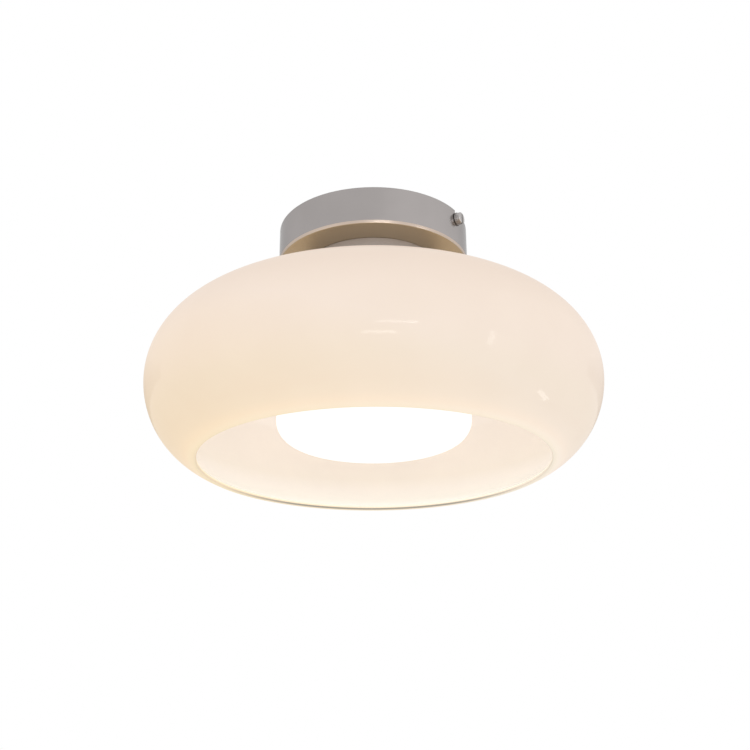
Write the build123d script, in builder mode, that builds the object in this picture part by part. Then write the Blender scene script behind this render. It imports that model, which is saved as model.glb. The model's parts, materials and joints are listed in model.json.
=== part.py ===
"""Semi-flush ceiling light: a chrome canopy and collar, an opal glass shade and an LED drum.

Millimetres. The origin is the centre of the ceiling bracket, on the ceiling plane. +Z is up, so
the light hangs towards -Z. The bracket strap and the two side screws of the canopy lie along X.
"""

import math
import os

from build123d import *

# Canopy, the cup against the ceiling
canopy_diameter = 130.0
canopy_height = 26.0
canopy_wall = 1.2
canopy_edge_radius = 2.0

# Collar between the canopy and the glass
collar_diameter = 90.0
collar_height = 27.5
collar_wall = 1.2
collar_edge_radius = 0.6

# Glass shade: a flat seat, a crown arc, a shoulder arc down to the widest ring, and a bowl arc
# that turns in below it
shade_diameter = 300.0
shade_wall = 3.6
shade_crown_fall = 12.7
shade_shoulder_radius = 49.3
shade_bowl_radius = 56.5
shade_rim_sweep = 66.0
shade_seat_margin = 1.0
shade_hole_diameter = 32.0

# Gaskets and the disc that clamps the glass
gasket_thickness = 1.5
gasket_lip_height = 3.0
gasket_lip_thickness = 1.4
shade_gasket_diameter = 70.0
clamp_disc_diameter = 76.0
clamp_disc_thickness = 2.0
clamp_disc_edge_radius = 0.6

# Hollow nipple through everything, with its nuts, washer and end bushes
nipple_diameter = 10.0
nipple_bore_diameter = 7.8
nipple_top_stand = 7.8
nipple_end_stand = 1.8
nipple_nut_width = 14.0
nipple_nut_height = 4.5
tray_nut_height = 3.5
lock_washer_diameter = 18.0
lock_washer_thickness = 1.2
bush_flange_diameter = 11.0
bush_flange_thickness = 1.5
bush_sleeve_length = 5.0
bush_wall = 0.6

# Lamp tray and the LED board
tray_thickness = 1.2
tray_skirt_height = 18.0
pad_thickness = 0.5
board_diameter = 106.0
board_thickness = 1.6
board_hole_diameter = 26.0
board_screw_circle = 80.0
board_screw_count = 3
board_screw_length = 5.5
board_screw_first_angle = 90.0
chip_length = 3.5
chip_width = 2.8
chip_height = 0.8
chip_circles = (48.0, 68.0, 94.0)
chip_counts = (8, 12, 18)
solder_circle = 36.0
solder_height = 1.0
solder_diameter = 3.4

# Diffuser drum, pulled over the spring clips on the tray
diffuser_diameter = 128.0
diffuser_wall = 2.0
diffuser_height = 82.5
diffuser_edge_radius = 12.0
diffuser_top_gap = 0.3
diffuser_skirt_gap = 1.8

# Spring clips on the skirt of the tray, and their rivets
clip_count = 3
clip_first_angle = 30.0
clip_width = 8.0
clip_thickness = 0.4
clip_top_gap = 1.5
clip_leg_gap = 0.1
clip_under_gap = 0.7
clip_bend_gap = 0.3
clip_bulge_gap = 0.3
clip_bulge_height = 6.5
clip_tip_height = 10.5
clip_bulge_bend = 6.0
rivet_diameter = 2.0
rivet_head_diameter = 3.6
rivet_head_height = 0.7
rivet_from_plate = 3.8

# Ceiling bracket: a strap with two tabs bent down and a small ear for the earth screw
bracket_width = 22.0
bracket_thickness = 1.5
bracket_bend_radius = 0.8
bracket_end_gap = 0.8
bracket_tab_height = 13.0
bracket_corner_radius = 3.0
bracket_slot_spacing = 64.0
bracket_slot_length = 14.0
bracket_slot_width = 4.5
supply_hole_diameter = 10.0
ear_width = 10.0
ear_height = 11.5
ear_screw_drop = 6.5
ear_from_axis = 17.0

# Side screws of the canopy, with their washers, weld nuts and notches
side_screw_drop = 6.0
side_screw_length = 12.0
side_screw_head_diameter = 8.0
side_screw_head_height = 3.0
side_screw_head_radius = 0.8
side_screw_slot_width = 1.0
side_screw_slot_depth = 1.0
side_washer_diameter = 9.0
side_washer_thickness = 0.8
side_washer_gap = 0.3
notch_side_gap = 0.3
weld_nut_width = 7.0
weld_nut_thickness = 3.0

# Threads and the small fasteners
thread_gap = 0.05
hole_gap = 0.15
m3_diameter = 3.0
m3_nut_width = 5.5
m3_nut_height = 2.4
m3_head_diameter = 5.6
m3_head_height = 1.8
m4_diameter = 4.0
m4_nut_width = 7.0
m4_nut_height = 3.2
m4_head_diameter = 8.0
m4_head_height = 2.6
m4_washer_diameter = 8.6
m4_washer_thickness = 0.8
ear_screw_length = 8.0
screw_point = 0.5
screw_head_radius = 0.6
screw_slot_width = 0.8
screw_slot_depth = 0.8
stud_stand = 1.2

# Driver: a plastic case with a cover, a board and its large components
driver_length = 56.0
driver_width = 28.0
driver_height = 17.0
driver_wall = 1.2
driver_split_height = 12.0
driver_from_axis = 22.0
driver_corner_radius = 1.5
driver_lip_height = 1.4
driver_lip_gap = 0.15
driver_board_gap = 0.3
driver_board_thickness = 1.6
driver_post_size = 4.0
driver_post_height = 2.5
driver_lead_height = 9.0
transformer_length = 14.0
transformer_width = 13.0
transformer_height = 8.5
bobbin_length = 9.0
bobbin_width = 16.0
bobbin_height = 5.5
transformer_offset = 9.0
capacitor_diameter = 8.0
capacitor_height = 9.0
capacitor_offset = 14.0
capacitor_edge_radius = 0.6
fixing_ear_length = 9.0
fixing_ear_width = 10.0
fixing_ear_thickness = 2.0

# Terminal block with three poles
block_width = 18.0
block_height = 13.0
block_from_axis = 24.0
block_edge_radius = 0.8
pole_pitch = 9.5
pole_count = 3
pole_axis_height = 5.0
clamp_diameter = 5.6
clamp_bore_diameter = 3.4
clamp_length = 13.0
clamp_gap = 0.1
clamp_screw_diameter = 2.5
clamp_screw_recess = 1.5
clamp_screw_spacing = 6.5
clamp_screw_slot = 0.5

# Earth fixing on the floor of the canopy
earth_stud_x = 40.0
earth_stud_y = -20.0
lug_thickness = 0.8
lug_ring_diameter = 8.0
lug_tongue_width = 3.0
lug_barrel_start = 6.0
lug_barrel_length = 5.0
lug_barrel_wall = 0.5
lug_angle = 135.0

# Leads
mains_lead_diameter = 2.4
led_lead_diameter = 1.6
led_lead_spacing = 2.6
led_lead_driver_spacing = 8.0
led_lead_top_drop = 6.0
led_lead_loop_depth = 9.5
driver_lead_entry = 3.0
block_lead_entry = 8.0
lug_lead_entry = 4.0
lug_lead_approach = 6.0
live_entry_inset = 8.0
neutral_entry_inset = 15.0
live_run_at_block = 8.0
live_middle_y = -1.0
neutral_run_at_block = 5.0
neutral_middle_y = -5.0
neutral_middle_rise = 1.0
mains_run_at_driver = 9.0
earth_run_at_block = 7.0
earth_bow_from_block = 16.0
earth_bow_side = 4.5
earth_bow_drop = 1.0
led_run_at_driver = 7.0
led_turn_y = 8.0
led_turn_spread = 1.0
bend_share = 0.45

# Levels, from the ceiling down
canopy_underside = -canopy_height
canopy_floor = canopy_underside + canopy_wall
collar_bottom = canopy_underside - collar_height
seat_level = collar_bottom - gasket_thickness
seat_underside = seat_level - shade_wall
clamp_disc_top = seat_underside - gasket_thickness
clamp_nut_top = clamp_disc_top - clamp_disc_thickness
tray_top = clamp_nut_top - nipple_nut_height
tray_underside = tray_top - tray_thickness
tray_nut_bottom = tray_underside - tray_nut_height
nipple_end = tray_nut_bottom - nipple_end_stand
nipple_top = canopy_floor + nipple_top_stand
pad_underside = tray_underside - pad_thickness
board_underside = pad_underside - board_thickness
skirt_bottom = tray_underside - tray_skirt_height
diffuser_top = tray_underside - diffuser_top_gap
diffuser_bottom = diffuser_top - diffuser_height
pole_level = canopy_floor + pole_axis_height
driver_lead_level = canopy_floor + driver_lead_height
rivet_level = tray_underside - rivet_from_plate

# Radii, diameters and places that several pieces share
canopy_radius = canopy_diameter / 2
canopy_inner_radius = canopy_radius - canopy_wall
collar_radius = collar_diameter / 2
collar_inner_radius = collar_radius - collar_wall
shade_radius = shade_diameter / 2
shade_hole_radius = shade_hole_diameter / 2
seat_radius = collar_radius + shade_seat_margin
nipple_bore_radius = nipple_bore_diameter / 2
nipple_hole_diameter = nipple_diameter + 2 * hole_gap
nipple_nut_bore = nipple_diameter + 2 * thread_gap
diffuser_radius = diffuser_diameter / 2
diffuser_inner_radius = diffuser_radius - diffuser_wall
skirt_radius = diffuser_inner_radius - diffuser_skirt_gap
skirt_inner_radius = skirt_radius - tray_thickness
m3_hole_diameter = m3_diameter + 2 * hole_gap
m3_thread_diameter = m3_diameter + 2 * thread_gap
m4_hole_diameter = m4_diameter + 2 * hole_gap
m4_thread_diameter = m4_diameter + 2 * thread_gap
rivet_hole_diameter = rivet_diameter + 2 * thread_gap
tab_outer_x = math.sqrt(canopy_inner_radius**2 - (bracket_width / 2) ** 2) - bracket_end_gap
tab_inner_x = tab_outer_x - bracket_thickness
driver_centre_y = driver_from_axis + driver_width / 2
driver_fixing_x = driver_length / 2 + fixing_ear_length / 2
live_entry_x = live_entry_inset - driver_length / 2
neutral_entry_x = neutral_entry_inset - driver_length / 2
block_length = pole_pitch * pole_count
block_centre_y = -(block_from_axis + block_width / 2)
block_fixing_x = block_length / 2 + fixing_ear_length / 2
fixing_places = [
    (driver_fixing_x, driver_centre_y),
    (-driver_fixing_x, driver_centre_y),
    (block_fixing_x, block_centre_y),
    (-block_fixing_x, block_centre_y),
]
m3_head = (m3_head_diameter, m3_head_height)
m4_head = (m4_head_diameter, m4_head_height)
side_screw_head = (side_screw_head_diameter, side_screw_head_height)
small_slot = (screw_slot_width, screw_slot_depth)
side_screw_slot = (side_screw_slot_width, side_screw_slot_depth)


def side_plane(seat):
    """The plane through a seat's middle whose X is the seat's X and whose Y is its normal."""
    return Plane(origin=seat.origin, x_dir=seat.x_dir, z_dir=-seat.y_dir)


def disc(plane, diameter, thickness, hole_diameter):
    """A round plate on the front of a plane, with a hole through it."""
    with BuildPart() as plate:
        with BuildSketch(plane):
            Circle(diameter / 2)
            Circle(hole_diameter / 2, mode=Mode.SUBTRACT)
        extrude(amount=thickness)
    return plate.part


def hex_nut(plane, width, height, bore_diameter):
    """A hexagon nut on the front of a plane, with its corners turned off at both faces."""
    corner_radius = width / 2 / math.cos(math.pi / 6)
    corner_cut = corner_radius - width / 2
    with BuildPart() as nut:
        with BuildSketch(plane):
            RegularPolygon(width / 2, 6, major_radius=False)
            Circle(bore_diameter / 2, mode=Mode.SUBTRACT)
        extrude(amount=height)
        with BuildSketch(side_plane(plane)):
            with BuildLine():
                Polyline(
                    (0, 0),
                    (width / 2, 0),
                    (corner_radius, corner_cut / 2),
                    (corner_radius, height - corner_cut / 2),
                    (width / 2, height),
                    (0, height),
                    close=True,
                )
            make_face()
        revolve(axis=Axis(plane.origin, plane.z_dir), mode=Mode.INTERSECT)
    return nut.part


def slotted_screw(seat, diameter, length, head, slot, head_edge_radius):
    """A screw whose head stands on the front of a seat plane, with its shank behind the plane.

    head is the head's diameter and height, and slot is the slot's width and depth.
    """
    head_diameter, head_height = head
    slot_width, slot_depth = slot
    with BuildPart() as screw:
        with BuildSketch(side_plane(seat)):
            with BuildLine():
                flank = Polyline(
                    (0, -length),
                    (diameter / 2 - screw_point, -length),
                    (diameter / 2, screw_point - length),
                    (diameter / 2, 0),
                    (head_diameter / 2, 0),
                    (head_diameter / 2, head_height - head_edge_radius),
                )
                head_edge = CenterArc(
                    (head_diameter / 2 - head_edge_radius, head_height - head_edge_radius),
                    head_edge_radius,
                    0,
                    90,
                )
                Polyline(head_edge @ 1, (0, head_height), flank @ 0)
            make_face()
        revolve(axis=Axis(seat.origin, seat.z_dir))
        with BuildSketch(seat.offset(head_height)):
            Rectangle(head_diameter, slot_width)
        extrude(amount=-slot_depth, mode=Mode.SUBTRACT)
    return screw.part


def bend_radii(points):
    """At each inner point, bend_share of the shorter run over the tangent of half the turn."""
    corners = [Vector(point) for point in points]
    radii = []
    for before, corner, after in zip(corners, corners[1:], corners[2:]):
        run_in = corner - before
        run_out = after - corner
        half_turn = math.radians(run_in.get_angle(run_out)) / 2
        radii.append(bend_share * min(run_in.length, run_out.length) / math.tan(half_turn))
    return radii


def lead(name, points, diameter):
    """A round wire along straight runs joined by tangent arcs."""
    radii = bend_radii(points)
    with BuildPart() as wire:
        with BuildLine():
            route = FilletPolyline(*points, radius=radii)
        with BuildSketch(Plane(origin=route @ 0, z_dir=route % 0)):
            Circle(diameter / 2)
        sweep(path=route)
    volume_share = wire.part.volume / (math.pi * diameter**2 / 4 * route.length)
    print(name, "bend radii", [round(radius, 1) for radius in radii])
    print(name, "volume over section times length", round(volume_share, 4))
    return wire.part


# The canopy: a spun cup with a hole for the nipple, and a notch at each side, open at the top
# edge, so that it drops off the slackened side screws
notch_width = m4_diameter + 2 * notch_side_gap
with BuildPart() as canopy:
    with BuildSketch():
        Circle(canopy_radius)
    extrude(amount=-canopy_height)
    fillet(canopy.edges().group_by(Axis.Z)[0], canopy_edge_radius)
    offset(amount=-canopy_wall, openings=canopy.faces().sort_by(Axis.Z)[-1])
    with BuildSketch(Plane.XY.offset(canopy_floor)):
        Circle(nipple_hole_diameter / 2)
    extrude(amount=-canopy_wall, mode=Mode.SUBTRACT)
    with BuildSketch(Plane.YZ):
        with Locations((0, -side_screw_drop)):
            Circle(notch_width / 2)
        with Locations((0, -side_screw_drop / 2)):
            Rectangle(notch_width, side_screw_drop)
    extrude(amount=canopy_radius, both=True, mode=Mode.SUBTRACT)
canopy.part.label = "canopy"

# The collar: a spun cup, closed against the canopy and open on the glass
with BuildPart() as collar:
    with BuildSketch(Plane.XY.offset(canopy_underside)):
        Circle(collar_radius)
    extrude(amount=-collar_height)
    fillet(collar.edges().group_by(Axis.Z)[-1], collar_edge_radius)
    offset(amount=-collar_wall, openings=collar.faces().sort_by(Axis.Z)[0])
    with BuildSketch(Plane.XY.offset(canopy_underside)):
        Circle(nipple_hole_diameter / 2)
    extrude(amount=-collar_wall, mode=Mode.SUBTRACT)
collar.part.label = "collar"

# The gasket under the edge of the collar, with a lip inside it
collar_lip_radius = collar_inner_radius - hole_gap
with BuildPart() as collar_gasket:
    with BuildSketch(Plane.XY.offset(seat_level)):
        Circle(collar_radius)
        Circle(collar_lip_radius - gasket_lip_thickness, mode=Mode.SUBTRACT)
    extrude(amount=gasket_thickness)
    with BuildSketch(Plane.XY.offset(collar_bottom)):
        Circle(collar_lip_radius)
        Circle(collar_lip_radius - gasket_lip_thickness, mode=Mode.SUBTRACT)
    extrude(amount=gasket_lip_height)
collar_gasket.part.label = "collar_gasket"

# The glass shade: the same arcs outside and inside, one wall apart, with a round rim
crown_span = shade_radius - shade_shoulder_radius - seat_radius
crown_turn = math.degrees(2 * math.atan(shade_crown_fall / crown_span))
crown_radius = shade_shoulder_radius + crown_span / math.sin(math.radians(crown_turn))
with BuildPart() as glass_shade:
    with BuildSketch(Plane.XZ):
        with BuildLine():
            seat = Line((shade_hole_radius, seat_level), (seat_radius, seat_level))
            crown = JernArc(seat @ 1, seat % 1, crown_radius, -crown_turn)
            shoulder = JernArc(crown @ 1, crown % 1, shade_shoulder_radius, crown_turn - 90)
            bowl = JernArc(shoulder @ 1, shoulder % 1, shade_bowl_radius, -shade_rim_sweep)
            rim = JernArc(bowl @ 1, bowl % 1, shade_wall / 2, -180)
            inner_bowl = JernArc(rim @ 1, rim % 1, shade_bowl_radius - shade_wall, shade_rim_sweep)
            inner_shoulder = JernArc(
                inner_bowl @ 1, inner_bowl % 1, shade_shoulder_radius - shade_wall, 90 - crown_turn
            )
            inner_crown = JernArc(
                inner_shoulder @ 1, inner_shoulder % 1, crown_radius - shade_wall, crown_turn
            )
            inner_seat = Line(inner_crown @ 1, (shade_hole_radius, seat_underside))
            Line(inner_seat @ 1, seat @ 0)
        make_face()
    revolve(axis=Axis.Z)
glass_shade.part.label = "glass_shade"

# The gasket under the glass, with a sleeve that centres the hole of the glass
sleeve_radius = shade_hole_radius - hole_gap
with BuildPart() as shade_gasket:
    with BuildSketch(Plane.XY.offset(clamp_disc_top)):
        Circle(shade_gasket_diameter / 2)
        Circle(sleeve_radius - gasket_lip_thickness, mode=Mode.SUBTRACT)
    extrude(amount=gasket_thickness)
    with BuildSketch(Plane.XY.offset(seat_underside)):
        Circle(sleeve_radius)
        Circle(sleeve_radius - gasket_lip_thickness, mode=Mode.SUBTRACT)
    extrude(amount=shade_wall)
shade_gasket.part.label = "shade_gasket"

# The disc that clamps the glass up against the collar
with BuildPart() as clamp_disc:
    with BuildSketch(Plane.XY.offset(clamp_nut_top)):
        Circle(clamp_disc_diameter / 2)
        Circle(nipple_hole_diameter / 2, mode=Mode.SUBTRACT)
    extrude(amount=clamp_disc_thickness)
    outer_edges = clamp_disc.edges().filter_by(GeomType.CIRCLE).group_by(SortBy.RADIUS)[-1]
    fillet(outer_edges, clamp_disc_edge_radius)
clamp_disc.part.label = "clamp_disc"

# The hollow nipple and what is threaded on it
with BuildPart() as nipple:
    with BuildSketch(Plane.XY.offset(nipple_end)):
        Circle(nipple_diameter / 2)
        Circle(nipple_bore_radius, mode=Mode.SUBTRACT)
    extrude(amount=nipple_top - nipple_end)
nipple.part.label = "nipple"

canopy_floor_plane = Plane.XY.offset(canopy_floor)
with BuildPart() as lock_washer:
    add(disc(canopy_floor_plane, lock_washer_diameter, lock_washer_thickness, nipple_hole_diameter))
lock_washer.part.label = "lock_washer"

top_nut_plane = canopy_floor_plane.offset(lock_washer_thickness)
with BuildPart() as top_nut:
    add(hex_nut(top_nut_plane, nipple_nut_width, nipple_nut_height, nipple_nut_bore))
top_nut.part.label = "top_nut"

with BuildPart() as clamp_nut:
    add(hex_nut(Plane.XY.offset(tray_top), nipple_nut_width, nipple_nut_height, nipple_nut_bore))
clamp_nut.part.label = "clamp_nut"

with BuildPart() as tray_nut:
    add(hex_nut(Plane.XY.offset(tray_nut_bottom), nipple_nut_width, tray_nut_height, nipple_nut_bore))
tray_nut.part.label = "tray_nut"


def end_bush(plane):
    """A plastic bush: a flange on the end plane of the nipple and a sleeve behind it."""
    bush_radius = nipple_bore_radius - thread_gap
    with BuildPart() as bush:
        with BuildSketch(plane):
            Circle(bush_flange_diameter / 2)
        extrude(amount=bush_flange_thickness)
        with BuildSketch(plane):
            Circle(bush_radius)
        extrude(amount=-bush_sleeve_length)
        with BuildSketch(plane.offset(bush_flange_thickness)):
            Circle(bush_radius - bush_wall)
        extrude(amount=-bush_flange_thickness - bush_sleeve_length, mode=Mode.SUBTRACT)
    return bush.part


with BuildPart() as end_bushes:
    add(end_bush(Plane.XY.offset(nipple_top)))
    add(end_bush(Plane(origin=(0, 0, nipple_end), z_dir=(0, 0, -1))))
end_bushes.part.label = "end_bushes"

# The lamp tray: a round plate with a skirt, threads for the board screws and rivet holes
with BuildPart() as lamp_tray:
    with BuildSketch(Plane.XY.offset(tray_underside)):
        Circle(diffuser_radius)
        Circle(nipple_hole_diameter / 2, mode=Mode.SUBTRACT)
        with PolarLocations(board_screw_circle / 2, board_screw_count, board_screw_first_angle):
            Circle(m3_thread_diameter / 2, mode=Mode.SUBTRACT)
    extrude(amount=tray_thickness)
    with BuildSketch(Plane.XY.offset(tray_underside)):
        Circle(skirt_radius)
        Circle(skirt_inner_radius, mode=Mode.SUBTRACT)
    extrude(amount=-tray_skirt_height)
    with PolarLocations(0, clip_count, clip_first_angle):
        with Locations(Location((0, 0, tray_underside - rivet_from_plate), (0, 90, 0))):
            Cylinder(
                rivet_hole_diameter / 2,
                diffuser_radius,
                align=(Align.CENTER, Align.CENTER, Align.MIN),
                mode=Mode.SUBTRACT,
            )
lamp_tray.part.label = "lamp_tray"


def board_sheet(underside, thickness):
    """A ring-shaped sheet of the board's outline, with its screw holes."""
    with BuildPart() as sheet:
        with BuildSketch(Plane.XY.offset(underside)):
            Circle(board_diameter / 2)
            Circle(board_hole_diameter / 2, mode=Mode.SUBTRACT)
            with PolarLocations(board_screw_circle / 2, board_screw_count, board_screw_first_angle):
                Circle(m3_hole_diameter / 2, mode=Mode.SUBTRACT)
        extrude(amount=thickness)
    return sheet.part


# The thermal pad, the LED board, its chips, its screws and its two soldered joints
with BuildPart() as thermal_pad:
    add(board_sheet(pad_underside, pad_thickness))
thermal_pad.part.label = "thermal_pad"

with BuildPart() as led_board:
    add(board_sheet(board_underside, board_thickness))
led_board.part.label = "led_board"

with BuildPart() as led_chips:
    with BuildSketch(Plane.XY.offset(board_underside)):
        for chip_circle, chip_count in zip(chip_circles, chip_counts):
            with PolarLocations(chip_circle / 2, chip_count, 180 / chip_count):
                Rectangle(chip_width, chip_length)
    extrude(amount=-chip_height)
led_chips.part.label = "led_chips"

board_screw = slotted_screw(
    Plane(origin=(board_screw_circle / 2, 0, board_underside), z_dir=(0, 0, -1)),
    m3_diameter,
    board_screw_length,
    m3_head,
    small_slot,
    screw_head_radius,
)
with BuildPart() as board_screws:
    with PolarLocations(0, board_screw_count, board_screw_first_angle):
        add(board_screw)
board_screws.part.label = "board_screws"

solder_slope = math.degrees(math.atan((solder_diameter - led_lead_diameter) / 2 / solder_height))
with BuildPart() as solder_joints:
    with BuildSketch(Plane.XY.offset(board_underside)):
        with PolarLocations(solder_circle / 2, 2):
            Circle(solder_diameter / 2)
    extrude(amount=-solder_height, taper=solder_slope)
solder_joints.part.label = "solder_joints"

# The diffuser: a drum with a round lower edge, open at the top
with BuildPart() as diffuser:
    with BuildSketch(Plane.XY.offset(diffuser_top)):
        Circle(diffuser_radius)
    extrude(amount=-diffuser_height)
    fillet(diffuser.edges().group_by(Axis.Z)[0], diffuser_edge_radius)
    offset(amount=-diffuser_wall, openings=diffuser.faces().sort_by(Axis.Z)[-1])
diffuser.part.label = "diffuser"

# One spring clip in the plane of X and Z: a leg inside the skirt, a bend under its edge, and a
# bulge outside it towards the drum
clip_half_thickness = clip_thickness / 2
clip_half_width = clip_width / 2
clip_leg_x = math.sqrt(skirt_inner_radius**2 - clip_half_width**2) - clip_leg_gap - clip_half_thickness
clip_outer_x = skirt_radius + clip_bend_gap + clip_half_thickness
clip_reach = diffuser_inner_radius - clip_bulge_gap
clip_bulge_x = math.sqrt(clip_reach**2 - clip_half_width**2) - clip_half_thickness
clip_bottom = skirt_bottom - clip_under_gap - clip_half_thickness
clip_bend_radius = (clip_outer_x - clip_leg_x) * bend_share
clip_leg_face = clip_leg_x - clip_half_thickness
with BuildPart() as spring_clip:
    with BuildSketch(Plane.XZ):
        with BuildLine():
            FilletPolyline(
                (clip_leg_x, tray_underside - clip_top_gap),
                (clip_leg_x, clip_bottom),
                (clip_outer_x, clip_bottom),
                (clip_bulge_x, skirt_bottom + clip_bulge_height),
                (clip_outer_x, skirt_bottom + clip_tip_height),
                radius=[clip_bend_radius, clip_bend_radius, clip_bulge_bend],
            )
        trace(line_width=clip_thickness)
    extrude(amount=clip_half_width, both=True)
    with BuildSketch(Plane(origin=(clip_leg_face, 0, rivet_level), z_dir=(1, 0, 0))):
        Circle(rivet_hole_diameter / 2)
    extrude(amount=clip_thickness, mode=Mode.SUBTRACT)
with BuildPart() as spring_clips:
    with PolarLocations(0, clip_count, clip_first_angle):
        add(spring_clip.part)
spring_clips.part.label = "spring_clips"

# One rivet along X, from the leg of a clip through the skirt
with BuildPart() as rivet:
    with BuildSketch(Plane(origin=(clip_leg_face, 0, rivet_level), z_dir=(1, 0, 0))):
        Circle(rivet_diameter / 2)
    extrude(amount=skirt_radius - clip_leg_face)
    with BuildSketch(Plane(origin=(clip_leg_face, 0, rivet_level), z_dir=(-1, 0, 0))):
        Circle(rivet_head_diameter / 2)
    extrude(amount=rivet_head_height)
    with BuildSketch(Plane(origin=(skirt_radius, 0, rivet_level), z_dir=(1, 0, 0))):
        Circle(rivet_head_diameter / 2)
    extrude(amount=rivet_head_height)
with BuildPart() as rivets:
    with PolarLocations(0, clip_count, clip_first_angle):
        add(rivet.part)
rivets.part.label = "rivets"

# The ceiling bracket
ear_x = -ear_from_axis
with BuildPart() as ceiling_bracket:
    with BuildSketch(Plane.XZ):
        with Locations((0, -bracket_tab_height / 2)):
            Rectangle(2 * tab_outer_x, bracket_tab_height)
        with Locations((0, -(bracket_tab_height + bracket_thickness) / 2)):
            Rectangle(2 * tab_inner_x, bracket_tab_height - bracket_thickness, mode=Mode.SUBTRACT)
    extrude(amount=bracket_width / 2, both=True)
    bend_edges = ceiling_bracket.edges().filter_by(Axis.Y)
    fillet(bend_edges.group_by(Axis.Z)[-1], bracket_bend_radius + bracket_thickness)
    inner_bends = ceiling_bracket.edges().filter_by(Axis.Y).filter_by_position(
        Axis.Z, -bracket_thickness - thread_gap, -bracket_thickness + thread_gap
    )
    fillet(inner_bends, bracket_bend_radius)
    fillet(ceiling_bracket.edges().filter_by(Axis.X).group_by(Axis.Z)[0], bracket_corner_radius)
    with BuildSketch():
        with Locations((bracket_slot_spacing / 2, 0), (-bracket_slot_spacing / 2, 0)):
            SlotOverall(bracket_slot_length, bracket_slot_width)
        Circle(supply_hole_diameter / 2)
    extrude(amount=-bracket_thickness, mode=Mode.SUBTRACT)
    with BuildSketch(Plane(origin=(0, 0, -side_screw_drop), z_dir=(1, 0, 0))):
        Circle(m4_thread_diameter / 2)
    extrude(amount=canopy_radius, both=True, mode=Mode.SUBTRACT)
    ear_front = Plane(origin=(ear_x, -bracket_width / 2, -ear_height / 2), z_dir=(0, -1, 0))
    with BuildSketch(ear_front):
        RectangleRounded(ear_width, ear_height, bracket_bend_radius)
    extrude(amount=-bracket_thickness)
    ear_seat = Plane(origin=(ear_x, -bracket_width / 2, -ear_screw_drop), z_dir=(0, -1, 0))
    with BuildSketch(ear_seat):
        Circle(m4_thread_diameter / 2)
    extrude(amount=-bracket_thickness, mode=Mode.SUBTRACT)
ceiling_bracket.part.label = "ceiling_bracket"

with BuildPart() as bracket_earth_screw:
    screw_seat = ear_seat.offset(m4_washer_thickness)
    add(slotted_screw(screw_seat, m4_diameter, ear_screw_length, m4_head, small_slot, screw_head_radius))
bracket_earth_screw.part.label = "bracket_earth_screw"

with BuildPart() as bracket_earth_washer:
    add(disc(ear_seat, m4_washer_diameter, m4_washer_thickness, m4_hole_diameter))
bracket_earth_washer.part.label = "bracket_earth_washer"

with BuildPart() as tab_nuts:
    for side in (1, -1):
        with BuildSketch(Plane(origin=(side * tab_inner_x, 0, -side_screw_drop), z_dir=(-side, 0, 0))):
            Rectangle(weld_nut_width, weld_nut_width)
            Circle(m4_thread_diameter / 2, mode=Mode.SUBTRACT)
        extrude(amount=weld_nut_thickness)
tab_nuts.part.label = "tab_nuts"

# The side screws and their washers, outside the canopy's wall
side_washer_plane = Plane(origin=(canopy_radius + side_washer_gap, 0, -side_screw_drop), z_dir=(1, 0, 0))
with BuildPart() as side_washer_right:
    add(disc(side_washer_plane, side_washer_diameter, side_washer_thickness, m4_hole_diameter))
side_washer_right.part.label = "side_washer_right"

with BuildPart() as side_screw_right:
    add(
        slotted_screw(
            side_washer_plane.offset(side_washer_thickness),
            m4_diameter,
            side_screw_length,
            side_screw_head,
            side_screw_slot,
            side_screw_head_radius,
        )
    )
side_screw_right.part.label = "side_screw_right"

with BuildPart() as side_washer_left:
    add(side_washer_right.part.rotate(Axis.Z, 180))
side_washer_left.part.label = "side_washer_left"

with BuildPart() as side_screw_left:
    add(side_screw_right.part.rotate(Axis.Z, 180))
side_screw_left.part.label = "side_screw_left"

# Weld studs on the floor of the canopy, and their nuts
stud_height = fixing_ear_thickness + m3_nut_height + stud_stand
with BuildPart() as canopy_studs:
    with BuildSketch(canopy_floor_plane):
        with Locations(*fixing_places):
            Circle(m3_diameter / 2)
    extrude(amount=stud_height)
canopy_studs.part.label = "canopy_studs"

m3_nut = hex_nut(Plane.XY, m3_nut_width, m3_nut_height, m3_thread_diameter)
with BuildPart() as stud_nuts:
    with Locations(*[(x, y, canopy_floor + fixing_ear_thickness) for x, y in fixing_places]):
        add(m3_nut)
stud_nuts.part.label = "stud_nuts"

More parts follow.
